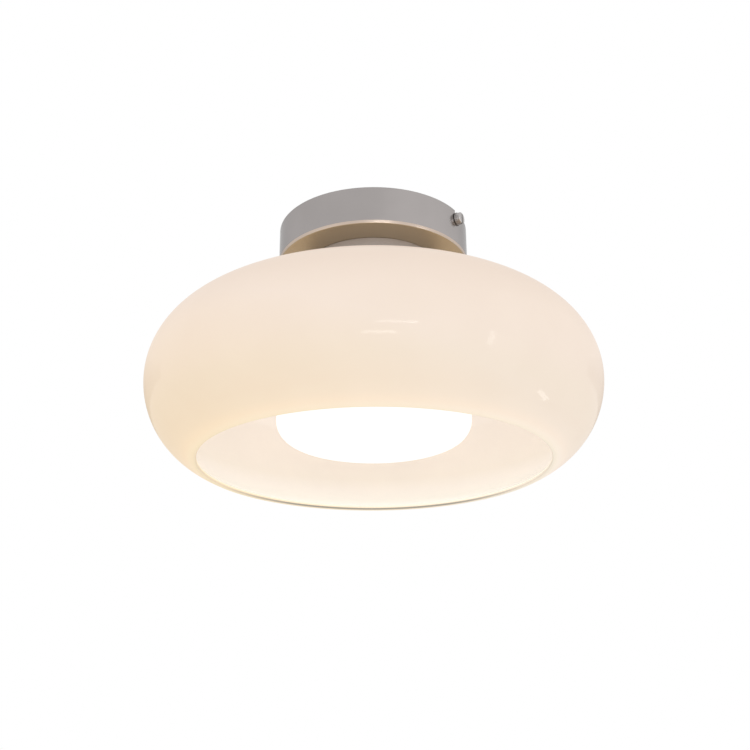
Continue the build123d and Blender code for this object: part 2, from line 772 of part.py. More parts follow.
# The driver's case: a base with a fixing ear at each end, and a cover whose lip goes inside it
base_plane = Plane(origin=(0, driver_centre_y, canopy_floor))
lead_holes_x = (live_entry_x, neutral_entry_x, led_lead_driver_spacing / 2, -led_lead_driver_spacing / 2)
lead_holes = [(x, driver_lead_level) for x in lead_holes_x]
inner_length = driver_length - 2 * driver_wall
inner_width = driver_width - 2 * driver_wall
inner_corner_radius = driver_corner_radius - driver_wall
board_length = inner_length - 2 * driver_board_gap
board_width = inner_width - 2 * driver_board_gap
with BuildPart() as driver_base:
    with BuildSketch(base_plane):
        RectangleRounded(driver_length, driver_width, driver_corner_radius)
    extrude(amount=driver_split_height)
    with BuildSketch(base_plane.offset(driver_wall)):
        RectangleRounded(inner_length, inner_width, inner_corner_radius)
    extrude(amount=driver_split_height - driver_wall, mode=Mode.SUBTRACT)
    with BuildSketch(base_plane.offset(driver_wall)):
        with GridLocations(inner_length - driver_post_size, inner_width - driver_post_size, 2, 2):
            Rectangle(driver_post_size, driver_post_size)
    extrude(amount=driver_post_height)
    for side in (1, -1):
        with BuildSketch(base_plane):
            with Locations((side * driver_fixing_x, 0)):
                Rectangle(fixing_ear_length, fixing_ear_width)
                Circle(m3_hole_diameter / 2, mode=Mode.SUBTRACT)
        extrude(amount=fixing_ear_thickness)
    with BuildSketch(Plane(origin=(0, driver_from_axis, 0), x_dir=(1, 0, 0), z_dir=(0, -1, 0))):
        with Locations(*lead_holes[:2]):
            Circle(mains_lead_diameter / 2 + hole_gap)
        with Locations(*lead_holes[2:]):
            Circle(led_lead_diameter / 2 + hole_gap)
    extrude(amount=-driver_wall, mode=Mode.SUBTRACT)
driver_base.part.label = "driver_base"

with BuildPart() as driver_cover:
    with BuildSketch(base_plane.offset(driver_split_height)):
        RectangleRounded(driver_length, driver_width, driver_corner_radius)
    extrude(amount=driver_height - driver_split_height)
    fillet(driver_cover.edges().group_by(Axis.Z)[-1], driver_corner_radius / 2)
    with BuildSketch(base_plane.offset(driver_split_height)):
        RectangleRounded(inner_length, inner_width, inner_corner_radius)
    extrude(amount=-driver_lip_height)
    with BuildSketch(base_plane.offset(driver_split_height)):
        Rectangle(driver_length, driver_width)
        lip_length = inner_length - 2 * driver_lip_gap
        lip_width = inner_width - 2 * driver_lip_gap
        Rectangle(lip_length, lip_width, mode=Mode.SUBTRACT)
    extrude(amount=-driver_lip_height, mode=Mode.SUBTRACT)
    with BuildSketch(base_plane.offset(driver_split_height - driver_lip_height)):
        Rectangle(lip_length - 2 * driver_wall, lip_width - 2 * driver_wall)
    extrude(amount=driver_height - driver_split_height + driver_lip_height - driver_wall, mode=Mode.SUBTRACT)
driver_cover.part.label = "driver_cover"

board_plane = base_plane.offset(driver_wall + driver_post_height)
with BuildPart() as driver_board:
    with BuildSketch(board_plane):
        Rectangle(board_length, board_width)
    extrude(amount=driver_board_thickness)
driver_board.part.label = "driver_board"

component_plane = board_plane.offset(driver_board_thickness)
with BuildPart() as driver_transformer:
    with BuildSketch(component_plane):
        with Locations((transformer_offset, 0)):
            Rectangle(transformer_length, transformer_width)
    extrude(amount=transformer_height)
    with BuildSketch(component_plane):
        with Locations((transformer_offset, 0)):
            Rectangle(bobbin_length, bobbin_width)
    extrude(amount=bobbin_height)
driver_transformer.part.label = "driver_transformer"

with BuildPart() as driver_capacitor:
    with BuildSketch(component_plane):
        with Locations((-capacitor_offset, 0)):
            Circle(capacitor_diameter / 2)
    extrude(amount=capacitor_height)
    fillet(driver_capacitor.edges().group_by(Axis.Z)[-1], capacitor_edge_radius)
driver_capacitor.part.label = "driver_capacitor"

# The terminal block, its brass clamps and their screws
pole_places = [pole_pitch * (pole - (pole_count - 1) / 2) for pole in range(pole_count)]
block_plane = Plane(origin=(0, block_centre_y, canopy_floor))
with BuildPart() as terminal_block:
    with BuildSketch(block_plane):
        Rectangle(block_length, block_width)
    extrude(amount=block_height)
    fillet(terminal_block.edges().filter_by(Axis.X).group_by(Axis.Z)[-1], block_edge_radius)
    for side in (1, -1):
        with BuildSketch(block_plane):
            with Locations((side * block_fixing_x, 0)):
                Rectangle(fixing_ear_length, fixing_ear_width)
                Circle(m3_hole_diameter / 2, mode=Mode.SUBTRACT)
        extrude(amount=fixing_ear_thickness)
    with BuildSketch(Plane(origin=(0, block_centre_y, 0), x_dir=(1, 0, 0), z_dir=(0, -1, 0))):
        with Locations(*[(x, pole_level) for x in pole_places]):
            Circle(clamp_diameter / 2 + clamp_gap)
    extrude(amount=block_width / 2, both=True, mode=Mode.SUBTRACT)
    with BuildSketch(block_plane.offset(block_height)):
        with GridLocations(pole_pitch, clamp_screw_spacing, pole_count, 2):
            Circle(clamp_screw_diameter / 2 + hole_gap)
    extrude(amount=pole_axis_height - block_height, mode=Mode.SUBTRACT)
terminal_block.part.label = "terminal_block"

clamp_middle = Plane(origin=(0, block_centre_y, pole_level), x_dir=(1, 0, 0), z_dir=(0, -1, 0))
clamp_radius = clamp_diameter / 2
with BuildPart() as terminal_clamps:
    with BuildSketch(clamp_middle):
        with Locations(*[(x, 0) for x in pole_places]):
            Circle(clamp_radius)
            Circle(clamp_bore_diameter / 2, mode=Mode.SUBTRACT)
    extrude(amount=clamp_length / 2, both=True)
    with BuildSketch(Plane(origin=(0, block_centre_y, pole_level))):
        with GridLocations(pole_pitch, clamp_screw_spacing, pole_count, 2):
            Circle(clamp_screw_diameter / 2 + thread_gap)
    extrude(amount=clamp_radius, mode=Mode.SUBTRACT)
terminal_clamps.part.label = "terminal_clamps"

clamp_screw_tip = pole_level + mains_lead_diameter / 2 + thread_gap
clamp_screw_top = canopy_floor + block_height - clamp_screw_recess
with BuildPart() as terminal_screws:
    with BuildSketch(Plane(origin=(0, block_centre_y, clamp_screw_tip))):
        with GridLocations(pole_pitch, clamp_screw_spacing, pole_count, 2):
            Circle(clamp_screw_diameter / 2)
    extrude(amount=clamp_screw_top - clamp_screw_tip)
    with BuildSketch(Plane(origin=(0, block_centre_y, clamp_screw_top))):
        with GridLocations(pole_pitch, clamp_screw_spacing, pole_count, 2):
            Rectangle(clamp_screw_diameter, clamp_screw_slot)
    extrude(amount=-clamp_screw_slot, mode=Mode.SUBTRACT)
terminal_screws.part.label = "terminal_screws"

# The earth stud, its lug and its nut
stud_plane = Plane(origin=(earth_stud_x, earth_stud_y, canopy_floor))
with BuildPart() as earth_stud:
    with BuildSketch(stud_plane):
        Circle(m4_diameter / 2)
    extrude(amount=lug_thickness + m4_nut_height + stud_stand)
earth_stud.part.label = "earth_stud"

lug_barrel_radius = mains_lead_diameter / 2 + thread_gap + lug_barrel_wall
lug_direction = Vector(1, 0, 0).rotate(Axis.Z, lug_angle)
lug_plane = Plane(origin=stud_plane.origin, x_dir=lug_direction, z_dir=(0, 0, 1))
barrel_mouth = stud_plane.origin + lug_direction * (lug_barrel_start + lug_barrel_length)
barrel_mouth = barrel_mouth + Vector(0, 0, lug_barrel_radius)
with BuildPart() as earth_lug:
    with BuildSketch(lug_plane):
        Circle(lug_ring_diameter / 2)
        with Locations((lug_barrel_start / 2 + lug_barrel_wall, 0)):
            Rectangle(lug_barrel_start + 2 * lug_barrel_wall, lug_tongue_width)
        Circle(m4_hole_diameter / 2, mode=Mode.SUBTRACT)
    extrude(amount=lug_thickness)
    with BuildSketch(Plane(origin=barrel_mouth, z_dir=-lug_direction)):
        Circle(lug_barrel_radius)
    extrude(amount=lug_barrel_length)
    with BuildSketch(Plane(origin=barrel_mouth, z_dir=-lug_direction)):
        Circle(lug_barrel_radius - lug_barrel_wall)
    extrude(amount=lug_barrel_length, mode=Mode.SUBTRACT)
earth_lug.part.label = "earth_lug"

with BuildPart() as earth_nut:
    add(hex_nut(stud_plane.offset(lug_thickness), m4_nut_width, m4_nut_height, m4_thread_diameter))
earth_nut.part.label = "earth_nut"

# The leads. Each runs straight into the holes that hold its ends.
block_face = -block_from_axis
clear_of_driver = driver_from_axis - mains_run_at_driver
live_pole, neutral_pole, earth_pole = pole_places
live_points = [
    (live_pole, block_face - block_lead_entry, pole_level),
    (live_pole, block_face + live_run_at_block, pole_level),
    (live_entry_x, live_middle_y, (pole_level + driver_lead_level) / 2),
    (live_entry_x, clear_of_driver, driver_lead_level),
    (live_entry_x, driver_from_axis + driver_lead_entry, driver_lead_level),
]
with BuildPart() as live_lead:
    add(lead("live_lead", live_points, mains_lead_diameter))
live_lead.part.label = "live_lead"

neutral_points = [
    (neutral_pole, block_face - block_lead_entry, pole_level),
    (neutral_pole, block_face + neutral_run_at_block, pole_level),
    (neutral_entry_x, neutral_middle_y, pole_level + neutral_middle_rise),
    (neutral_entry_x, clear_of_driver, driver_lead_level),
    (neutral_entry_x, driver_from_axis + driver_lead_entry, driver_lead_level),
]
with BuildPart() as neutral_lead:
    add(lead("neutral_lead", neutral_points, mains_lead_diameter))
neutral_lead.part.label = "neutral_lead"

earth_approach = barrel_mouth + lug_direction * lug_lead_approach
earth_end = barrel_mouth - lug_direction * lug_lead_entry
earth_points = [
    (earth_pole, block_face - block_lead_entry, pole_level),
    (earth_pole, block_face + earth_run_at_block, pole_level),
    (earth_pole + earth_bow_side, block_face + earth_bow_from_block, pole_level - earth_bow_drop),
    (earth_approach.X, earth_approach.Y, earth_approach.Z),
    (earth_end.X, earth_end.Y, earth_end.Z),
]
with BuildPart() as earth_lead:
    add(lead("earth_lead", earth_points, mains_lead_diameter))
earth_lead.part.label = "earth_lead"

# Each LED lead rises from the driver, turns down into the nipple and loops out to its joint
led_lead_turn_level = -led_lead_top_drop
led_lead_loop_level = nipple_end - bush_flange_thickness - led_lead_loop_depth
solder_level = board_underside - solder_height
for side, lead_name in ((1, "led_lead_positive"), (-1, "led_lead_negative")):
    driver_x = side * led_lead_driver_spacing / 2
    bore_x = side * led_lead_spacing / 2
    joint_x = side * solder_circle / 2
    led_points = [
        (driver_x, driver_from_axis + driver_lead_entry, driver_lead_level),
        (driver_x, driver_from_axis - led_run_at_driver, driver_lead_level),
        (bore_x + side * led_turn_spread, led_turn_y, led_lead_turn_level),
        (bore_x, 0, led_lead_turn_level),
        (bore_x, 0, led_lead_loop_level),
        (joint_x, 0, led_lead_loop_level),
        (joint_x, 0, solder_level),
    ]
    if side > 0:
        with BuildPart() as led_lead_positive:
            add(lead(lead_name, led_points, led_lead_diameter))
        led_lead_positive.part.label = lead_name
    else:
        with BuildPart() as led_lead_negative:
            add(lead(lead_name, led_points, led_lead_diameter))
        led_lead_negative.part.label = lead_name

# Write one file per sub-part
os.makedirs("parts", exist_ok=True)
sub_parts = (
    ceiling_bracket,
    bracket_earth_screw,
    bracket_earth_washer,
    tab_nuts,
    side_screw_right,
    side_screw_left,
    side_washer_right,
    side_washer_left,
    canopy,
    canopy_studs,
    stud_nuts,
    terminal_block,
    terminal_clamps,
    terminal_screws,
    earth_stud,
    earth_lug,
    earth_nut,
    driver_base,
    driver_cover,
    driver_board,
    driver_transformer,
    driver_capacitor,
    lock_washer,
    top_nut,
    nipple,
    end_bushes,
    collar,
    collar_gasket,
    glass_shade,
    shade_gasket,
    clamp_disc,
    clamp_nut,
    lamp_tray,
    tray_nut,
    spring_clips,
    rivets,
    thermal_pad,
    led_board,
    led_chips,
    board_screws,
    solder_joints,
    live_lead,
    neutral_lead,
    earth_lead,
    led_lead_positive,
    led_lead_negative,
    diffuser,
)
for sub_part in sub_parts:
    export_step(sub_part.part, f"parts/{sub_part.part.label}.step")
print("crown turn", round(crown_turn, 2), "crown radius", round(crown_radius, 1))
print("lowest level", round(glass_shade.part.bounding_box().min.Z, 2), "sub-parts", len(sub_parts))
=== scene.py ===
"""Builds the looks of a semi-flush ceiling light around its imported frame.

The light hangs from the origin towards -Z: a chrome canopy and collar, a flattened opal glass shade
that is open below, and a lit opal drum inside it. Metres, with +Z up.
"""

import json
import math

import bmesh
import bpy
import numpy as np
from bpy.props import FloatProperty, FloatVectorProperty, IntProperty, PointerProperty
from mathutils import Matrix, Vector


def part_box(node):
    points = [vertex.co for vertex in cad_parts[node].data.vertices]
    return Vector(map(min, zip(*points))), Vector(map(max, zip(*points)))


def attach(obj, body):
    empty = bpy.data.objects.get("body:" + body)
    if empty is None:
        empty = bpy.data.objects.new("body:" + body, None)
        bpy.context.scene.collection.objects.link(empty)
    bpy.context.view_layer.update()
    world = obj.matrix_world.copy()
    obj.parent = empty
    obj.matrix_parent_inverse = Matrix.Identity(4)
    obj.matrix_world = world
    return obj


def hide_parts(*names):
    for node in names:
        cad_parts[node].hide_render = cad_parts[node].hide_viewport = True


bl_info = {
    "name": "Opal Ceiling Light",
    "version": (1, 0, 0),
    "blender": (4, 5, 0),
    "location": "3D View > Sidebar > Ceiling Light",
    "description": "Makes the glass, drum, canopy, collar, leads and finishes of a ceiling light",
    "category": "Add Mesh",
}

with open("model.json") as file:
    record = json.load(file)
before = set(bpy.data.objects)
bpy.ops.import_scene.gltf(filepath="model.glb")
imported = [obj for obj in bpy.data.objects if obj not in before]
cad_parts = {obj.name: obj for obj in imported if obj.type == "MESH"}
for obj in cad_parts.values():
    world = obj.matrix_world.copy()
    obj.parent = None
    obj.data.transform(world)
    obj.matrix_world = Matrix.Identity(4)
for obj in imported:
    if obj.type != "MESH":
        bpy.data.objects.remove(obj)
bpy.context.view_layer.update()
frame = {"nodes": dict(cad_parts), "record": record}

MM = 0.001
FULL_TURN = 2 * math.pi
SAME_POINT = 1e-7
SHARP_ANGLE = math.radians(35)
STEPS_ROUND = 192
BEAD_SHARE = 0.3
CAMERA_AZIMUTH = math.radians(30)


# ---------------------------------------------------------------- shapes


def arc(centre, radius, start, end, count):
    """Points centre + radius (cos a, sin a) in the (r, z) plane, a from start to end in degrees."""
    angle = np.radians(np.linspace(start, end, count))
    return np.stack([centre[0] + radius * np.cos(angle), centre[1] + radius * np.sin(angle)], 1)


def run(start, end, count):
    """Evenly spaced points on the straight line from start to end, in the (r, z) plane."""
    share = np.linspace(0, 1, count)[:, None]
    return np.asarray(start) * (1 - share) + np.asarray(end) * share


def joined(*stretches):
    """The stretches one after another, without the points that repeat where two meet."""
    points = np.concatenate(stretches)
    step = np.linalg.norm(np.diff(points, axis=0), axis=1)
    return points[np.concatenate([[True], step > SAME_POINT])]


def turned(profile, angles):
    """A profile turned about Z: (r, z) at angle a becomes (r cos a, r sin a, z)."""
    radius, height = profile[:, 0], profile[:, 1]
    return np.stack(
        [
            np.outer(np.cos(angles), radius),
            np.outer(np.sin(angles), radius),
            np.broadcast_to(height, (len(angles), len(height))),
        ],
        2,
    )


def shares_along(line, closed):
    """The share of a profile's length at each of its points, and once more where it closes."""
    gaps = np.linalg.norm(np.diff(np.concatenate([line, line[:1]]), axis=0), axis=1)
    along = np.concatenate([[0], np.cumsum(gaps)])
    return along / (along[-1] if closed else along[-2])


def surface(name, points, wrap_around=True, wrap_along=False, along=None):
    """A piece from a grid of points: rows go around the piece, columns go along its profile.

    The UV map holds the share of the way around and the share of the profile's length, which is
    measured on the first row unless it is given. Faces are turned outwards by the sign of the
    enclosed volume.
    """
    rows, columns = points.shape[:2]
    last_row = rows if wrap_around else rows - 1
    last_column = columns if wrap_along else columns - 1
    row, column = np.meshgrid(np.arange(last_row), np.arange(last_column), indexing="ij")
    next_row, next_column = (row + 1) % rows, (column + 1) % columns
    corners = np.stack(
        [
            row * columns + column,
            next_row * columns + column,
            next_row * columns + next_column,
            row * columns + next_column,
        ],
        2,
    ).reshape(-1, 4)
    if along is None:
        along = shares_along(points[0], wrap_along)
    share_around = np.stack([row, row + 1, row + 1, row], 2).reshape(-1, 4) / last_row
    share_along = np.stack(
        [along[column], along[column], along[column + 1], along[column + 1]], 2
    ).reshape(-1, 4)
    flat = points.reshape(-1, 3)
    a, b, c, d = (flat[corners[:, k]] for k in range(4))
    volume = np.einsum("ij,ij->", a, np.cross(b, c)) + np.einsum("ij,ij->", a, np.cross(c, d))
    if volume < 0:
        corners, share_around, share_along = (
            values[:, ::-1] for values in (corners, share_around, share_along)
        )
    mesh = bpy.data.meshes.new(name)
    mesh.from_pydata(flat.tolist(), [], corners.tolist())
    uv = mesh.uv_layers.new(name="UVMap")
    uv.data.foreach_set("uv", np.stack([share_around, share_along], 2).astype(np.float32).ravel())
    return finished(name, mesh)


def finished(name, mesh):
    """The object for a mesh: doubles merged, smooth except at sharp edges."""
    work = bmesh.new()
    work.from_mesh(mesh)
    bmesh.ops.remove_doubles(work, verts=work.verts, dist=SAME_POINT)
    work.to_mesh(mesh)
    work.free()
    mesh.polygons.foreach_set("use_smooth", np.ones(len(mesh.polygons), bool))
    mesh.set_sharp_from_angle(angle=SHARP_ANGLE)
    piece = bpy.data.objects.new(name, mesh)
    bpy.context.scene.collection.objects.link(piece)
    return piece


def dressed(piece, body, material, slot, *nodes):
    """Puts a piece on its body, with its finish, in the place of the CAD nodes it stands for."""
    piece.data.materials.append(material)
    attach(piece, body)
    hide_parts(*nodes)


# ---------------------------------------------------------------- materials


class Finish:
    """A material whose nodes are added one by one and end in one principled shader."""

    def __init__(self, name, **sockets):
        self.material = bpy.data.materials.new(name)
        self.material.use_nodes = True
        self.nodes = self.material.node_tree.nodes
        self.links = self.material.node_tree.links
        self.shader = self.nodes["Principled BSDF"]
        for socket, value in sockets.items():
            self.set(socket.replace("_", " "), value)

    def set(self, socket, value):
        """Joins a node's output to a socket of the shader, or writes a value there."""
        self.fill(self.shader, socket, value)

    def fill(self, node, socket, value):
        """Writes a number, a colour or another node's output into one input of a node."""
        target = node.inputs[socket]
        if isinstance(value, bpy.types.NodeSocket):
            self.links.new(value, target)
        elif isinstance(value, (tuple, list)) and len(value) == 3 and target.type == "RGBA":
            target.default_value = (*value, 1.0)
        else:
            target.default_value = value

    def add(self, kind, output=0, settings=None, **inputs):
        """Adds a node, fills its inputs by name or (i0, i1) by number, and returns an output."""
        node = self.nodes.new("ShaderNode" + kind)
        for key, value in (settings or {}).items():
            setattr(node, key, value)
        for key, value in inputs.items():
            name = key.replace("_", " ")
            self.fill(node, int(name[1:]) if name[0] == "i" and name[1:].isdigit() else name, value)
        return node.outputs[output]

    def place(self, stretch=(1, 1, 1)):
        """The point on the piece in metres, stretched along its axes."""
        where = self.add("TexCoord", "Object")
        return self.add("Mapping", settings={"vector_type": "POINT"}, Vector=where, Scale=stretch)

    def reach(self, way):
        """How far the point on the piece lies in a direction."""
        return self.add(
            "VectorMath", "Value", settings={"operation": "DOT_PRODUCT"}, i0=self.place(), i1=way
        )

    def share(self, axis):
        """The share of the way around the piece (axis 0) or along its profile (axis 1)."""
        return self.add("SeparateXYZ", axis, Vector=self.add("TexCoord", "UV"))

    def noise(self, scale, detail=3.0, roughness=0.5, stretch=(1, 1, 1)):
        """A soft noise from 0 to 1 whose grain is about 1/scale metres."""
        return self.add(
            "TexNoise", "Fac",
            Vector=self.place(stretch), Scale=scale, Detail=detail, Roughness=roughness,
        )

    def spread(self, value, low, high, start=0.3, end=0.7):
        """Maps a value from start..end to low..high."""
        return self.add("MapRange", "Result", Value=value, i1=start, i2=end, i3=low, i4=high)

    def blended(self, share, first, second):
        """A colour between two others."""
        return self.add("Mix", 2, settings={"data_type": "RGBA"}, i0=share, i6=first, i7=second)

    def ramp(self, value, stops):
        """A colour ramp with the stops (place, colour)."""
        output = self.add("ValToRGB", "Color", Fac=value)
        elements = output.node.color_ramp.elements
        while len(elements) < len(stops):
            elements.new(0.5)
        for element, (place, _) in zip(elements, stops):
            element.position = place
        for element, (_, colour) in zip(elements, stops):
            element.color = (*colour, 1.0)
        return output

    def product(self, first, second):
        """One value times another."""
        return self.add("Math", 0, settings={"operation": "MULTIPLY"}, i0=first, i1=second)

    def band(self, value, start, first, last, end):
        """1 where the value is between first and last, fading to 0 at start and at end."""
        return self.product(
            self.spread(value, 0.0, 1.0, start, first), self.spread(value, 1.0, 0.0, last, end)
        )

    def bump(self, height, strength, distance):
        """Raises the surface by a height of up to distance metres."""
        raised = self.add("Bump", "Normal", Height=height, Strength=strength, Distance=distance)
        self.set("Normal", raised)


def shades(colour, change):
    """A colour made darker and lighter by the same share."""
    return tuple(tuple(min(1.0, c * share) for c in colour) for share in (1 - change, 1 + change))


def metal(name, colour, roughness, change, relief, grain, stretch=(1, 1, 1)):
    """Metal with cloudy colour, uneven polish and a fine grain."""
    finish = Finish(name, Metallic=1.0)
    dark, light = shades(colour, change)
    cloud = finish.noise(60.0)
    finish.set("Base Color", finish.blended(finish.spread(cloud, 0, 1), dark, light))
    polish = finish.noise(grain, 4.0, 0.6, stretch)
    finish.set("Roughness", finish.spread(polish, roughness * 0.8, roughness * 1.25))
    finish.bump(polish, 0.6, relief)
    return finish.material


def moulded(name, colour, roughness, change, relief, grain, **sockets):
    """Plastic, rubber or paint with a faint tone change and a fine moulded or sprayed surface."""
    finish = Finish(name, **sockets)
    dark, light = shades(colour, change)
    finish.set("Base Color", finish.blended(finish.spread(finish.noise(45.0), 0, 1), dark, light))
    skin = finish.noise(grain, 2.0)
    finish.set("Roughness", finish.spread(skin, roughness * 0.9, roughness * 1.12))
    finish.bump(skin, 0.5, relief)
    return finish


# ---------------------------------------------------------------- leads


# For each CAD node: diameter and length in millimetres, slot, and route in millimetres.
LEADS = {
    "live_lead": (
        2.4, 59.3, "live_sleeve",
        (
            (-9.5, -32, -19.8), (-9.5, -16, -19.8), (-20, -1, -17.8), (-20, 13, -15.8),
            (-20, 25, -15.8),
        ),
    ),
    "neutral_lead": (
        2.4, 60.5, "neutral_sleeve",
        ((0, -32, -19.8), (0, -19, -19.8), (-13, -5, -18.8), (-13, 13, -15.8), (-13, 25, -15.8)),
    ),
    "earth_lead": (
        2.4, 47.0, "earth_sleeve",
        (
            (9.5, -32, -19.8), (9.5, -17, -19.8), (14, -8, -20.8), (27.979, -7.979, -23.05),
            (35.05, -15.05, -23.05),
        ),
    ),
    "led_lead_positive": (
        1.6, 124.0, "red_sleeve",
        (
            (4, 25, -15.8), (4, 15, -15.8), (2.3, 8, -6), (1.3, 0, -6), (1.3, 0, -84.1),
            (18, 0, -84.1), (18, 0, -70.9),
        ),
    ),
    "led_lead_negative": (
        1.6, 124.0, "black_sleeve",
        (
            (-4, 25, -15.8), (-4, 15, -15.8), (-2.3, 8, -6), (-1.3, 0, -6), (-1.3, 0, -84.1),
            (-18, 0, -84.1), (-18, 0, -70.9),
        ),
    ),
}
SLEEVES = {
    "live_sleeve": (0.085, 0.035, 0.018),
    "neutral_sleeve": (0.03, 0.12, 0.42),
    "earth_sleeve": (0.03, 0.28, 0.05),
    "red_sleeve": (0.48, 0.02, 0.015),
    "black_sleeve": (0.018, 0.018, 0.02),
}
SLANT = (0.5, 0.33, 0.8)
SLEEVE_STEPS = 20
STRIPE_EDGE = (0.115, 0.125)
STRIPE_YELLOW = (0.72, 0.60, 0.03)


def lead_line(name, route):
    """Points read from the smooth spline whose control points are the route's, in millimetres."""
    curve = bpy.data.curves.new(name + "_line", "CURVE")
    curve.dimensions = "3D"
    curve.resolution_u = 24
    spline = curve.splines.new("NURBS")
    spline.points.add(len(route) - 1)
    points = np.concatenate([np.array(route) * MM, np.ones((len(route), 1))], 1)
    spline.points.foreach_set("co", points.astype(np.float32).ravel())
    spline.order_u = 3
    spline.use_endpoint_u = True
    item = bpy.data.objects.new(name + "_line", curve)
    mesh = bpy.data.meshes.new_from_object(item)
    line = np.zeros(len(mesh.vertices) * 3, np.float32)
    mesh.vertices.foreach_get("co", line)
    bpy.data.objects.remove(item)
    bpy.data.meshes.remove(mesh)
    bpy.data.curves.remove(curve)
    return line.reshape(-1, 3).astype(float)


def sleeve_surface(line, radius):
    """A round section carried along a line: line(s) + radius (cos a side(s) + sin a across(s)).

    side is the tangent crossed with a fixed slanted direction, and across the tangent crossed with
    side. The ends close in a small dome.
    """
    tangent = np.gradient(line, axis=0)
    tangent /= np.linalg.norm(tangent, axis=1)[:, None]
    side = np.cross(tangent, SLANT)
    side /= np.linalg.norm(side, axis=1)[:, None]
    across = np.cross(tangent, side)
    girth = np.full(len(line), radius)
    girth[[0, -1]] = 0
    girth[[1, -2]] = radius * 0.8
    angle = np.linspace(0, FULL_TURN, SLEEVE_STEPS, endpoint=False)[:, None, None]
    return line + girth[:, None] * (np.cos(angle) * side + np.sin(angle) * across)


def sleeve(slot):
    """Wire insulation: satin plastic; the earth lead has a yellow stripe on each side."""
    colour = SLEEVES[slot]
    finish = moulded(slot, colour, 0.35, 0.08, 1e-5, 900.0)
    if slot == "earth_sleeve":
        wave = finish.add("Math", settings={"operation": "PINGPONG"}, i0=finish.share(0), i1=0.25)
        stripe = finish.spread(wave, 0.0, 1.0, *STRIPE_EDGE)
        cloud = finish.spread(finish.noise(45.0), 0, 1)
        green = finish.blended(cloud, *shades(colour, 0.08))
        yellow = finish.blended(cloud, *shades(STRIPE_YELLOW, 0.06))
        finish.set("Base Color", finish.blended(stripe, green, yellow))
    return finish.material


class LIGHT_OT_leads(bpy.types.Operator):
    """Make the five insulated leads between the block, the driver, the earth stud and the board"""

    bl_idname = "ceiling_light.leads"
    bl_label = "Leads"

    def execute(self, context):
        for node, (diameter, length, slot, route) in LEADS.items():
            line = lead_line(node, route)
            piece = surface(node + "_sleeve", sleeve_surface(line, diameter * MM / 2))
            dressed(piece, "lamp_body", sleeve(slot), slot, node)
        return {"FINISHED"}


# ---------------------------------------------------------------- settings


class ShadeSettings(bpy.types.PropertyGroup):
    """Sizes of the opal glass shade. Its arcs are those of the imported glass."""

    wall: FloatProperty(
        name="Wall", description="Thickness of the glass", default=0.0036, unit="LENGTH"
    )
    seat_radius: FloatProperty(
        name="Seat radius", description="Radius of the flat seat under the collar",
        default=0.046, unit="LENGTH",
    )
    crown_fall: FloatProperty(
        name="Crown fall", description="How far the crown falls from the seat to the shoulder",
        default=0.0127, unit="LENGTH",
    )
    shoulder_radius: FloatProperty(
        name="Shoulder radius", description="Radius of the arc above the widest ring",
        default=0.0493, unit="LENGTH",
    )
    bowl_radius: FloatProperty(
        name="Bowl radius", description="Radius of the arc below the widest ring",
        default=0.0565, unit="LENGTH",
    )
    rim_sweep: FloatProperty(
        name="Rim sweep", description="How far the bowl turns in under the widest ring",
        default=math.radians(66), subtype="ANGLE",
    )
    around: IntProperty(
        name="Steps around", description="Steps round the glass", default=288, min=24
    )


class DrumSettings(bpy.types.PropertyGroup):
    """Sizes of the lit drum."""

    wall: FloatProperty(
        name="Wall", description="Thickness of the drum", default=0.002, unit="LENGTH"
    )
    edge_radius: FloatProperty(
        name="Edge radius", description="Radius of the drum's lower edge",
        default=0.012, unit="LENGTH",
    )
    glow: FloatProperty(
        name="Glow", description="Strength of the drum's light", default=0.56, min=0
    )


class CanopySettings(bpy.types.PropertyGroup):
    """Sizes of the canopy and the collar."""

    wall: FloatProperty(
        name="Wall", description="Thickness of the spun metal", default=0.0012, unit="LENGTH"
    )
    edge_radius: FloatProperty(
        name="Edge radius", description="Radius of the canopy's lower edge",
        default=0.0004, unit="LENGTH",
    )
    # The bevel's colour is a painted highlight.
    bevel_height: FloatProperty(
        name="Bevel height", description="Height of the canopy's burnished bevel",
        default=0.002, unit="LENGTH",
    )
    bevel_slope: FloatProperty(
        name="Bevel slope", description="Slope of the bevel against the wall",
        default=math.radians(15.5), subtype="ANGLE",
    )
    collar_edge_radius: FloatProperty(
        name="Collar edge radius", description="Radius of the collar's upper edge",
        default=0.0003, unit="LENGTH",
    )
    hole_radius: FloatProperty(
        name="Hole radius", description="Radius of the hole for the nipple",
        default=0.00515, unit="LENGTH",
    )
    notch_radius: FloatProperty(
        name="Notch radius", description="Half the width of the notch for a side screw",
        default=0.0023, unit="LENGTH",
    )
    notch_drop: FloatProperty(
        name="Notch drop", description="Depth of the side screw below the ceiling",
        default=0.006, unit="LENGTH",
    )
    metal: FloatVectorProperty(
        name="Plating", description="Colour of the plated metal", default=(0.365, 0.340, 0.332),
        subtype="COLOR", size=3, min=0, max=1,
    )


# ---------------------------------------------------------------- pieces


def box_corners(node):
    """The lowest and the highest corner of a CAD node as arrays, in metres."""
    low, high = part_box(node)
    return np.array(low), np.array(high)


def frame_hole(node):
    """The smallest distance from the Z axis of a CAD node's own vertices."""
    mesh = frame["nodes"][node].data
    co = np.zeros(len(mesh.vertices) * 3, np.float32)
    mesh.vertices.foreach_get("co", co)
    co = co.reshape(-1, 3)
    return float(np.hypot(co[:, 0], co[:, 1]).min())


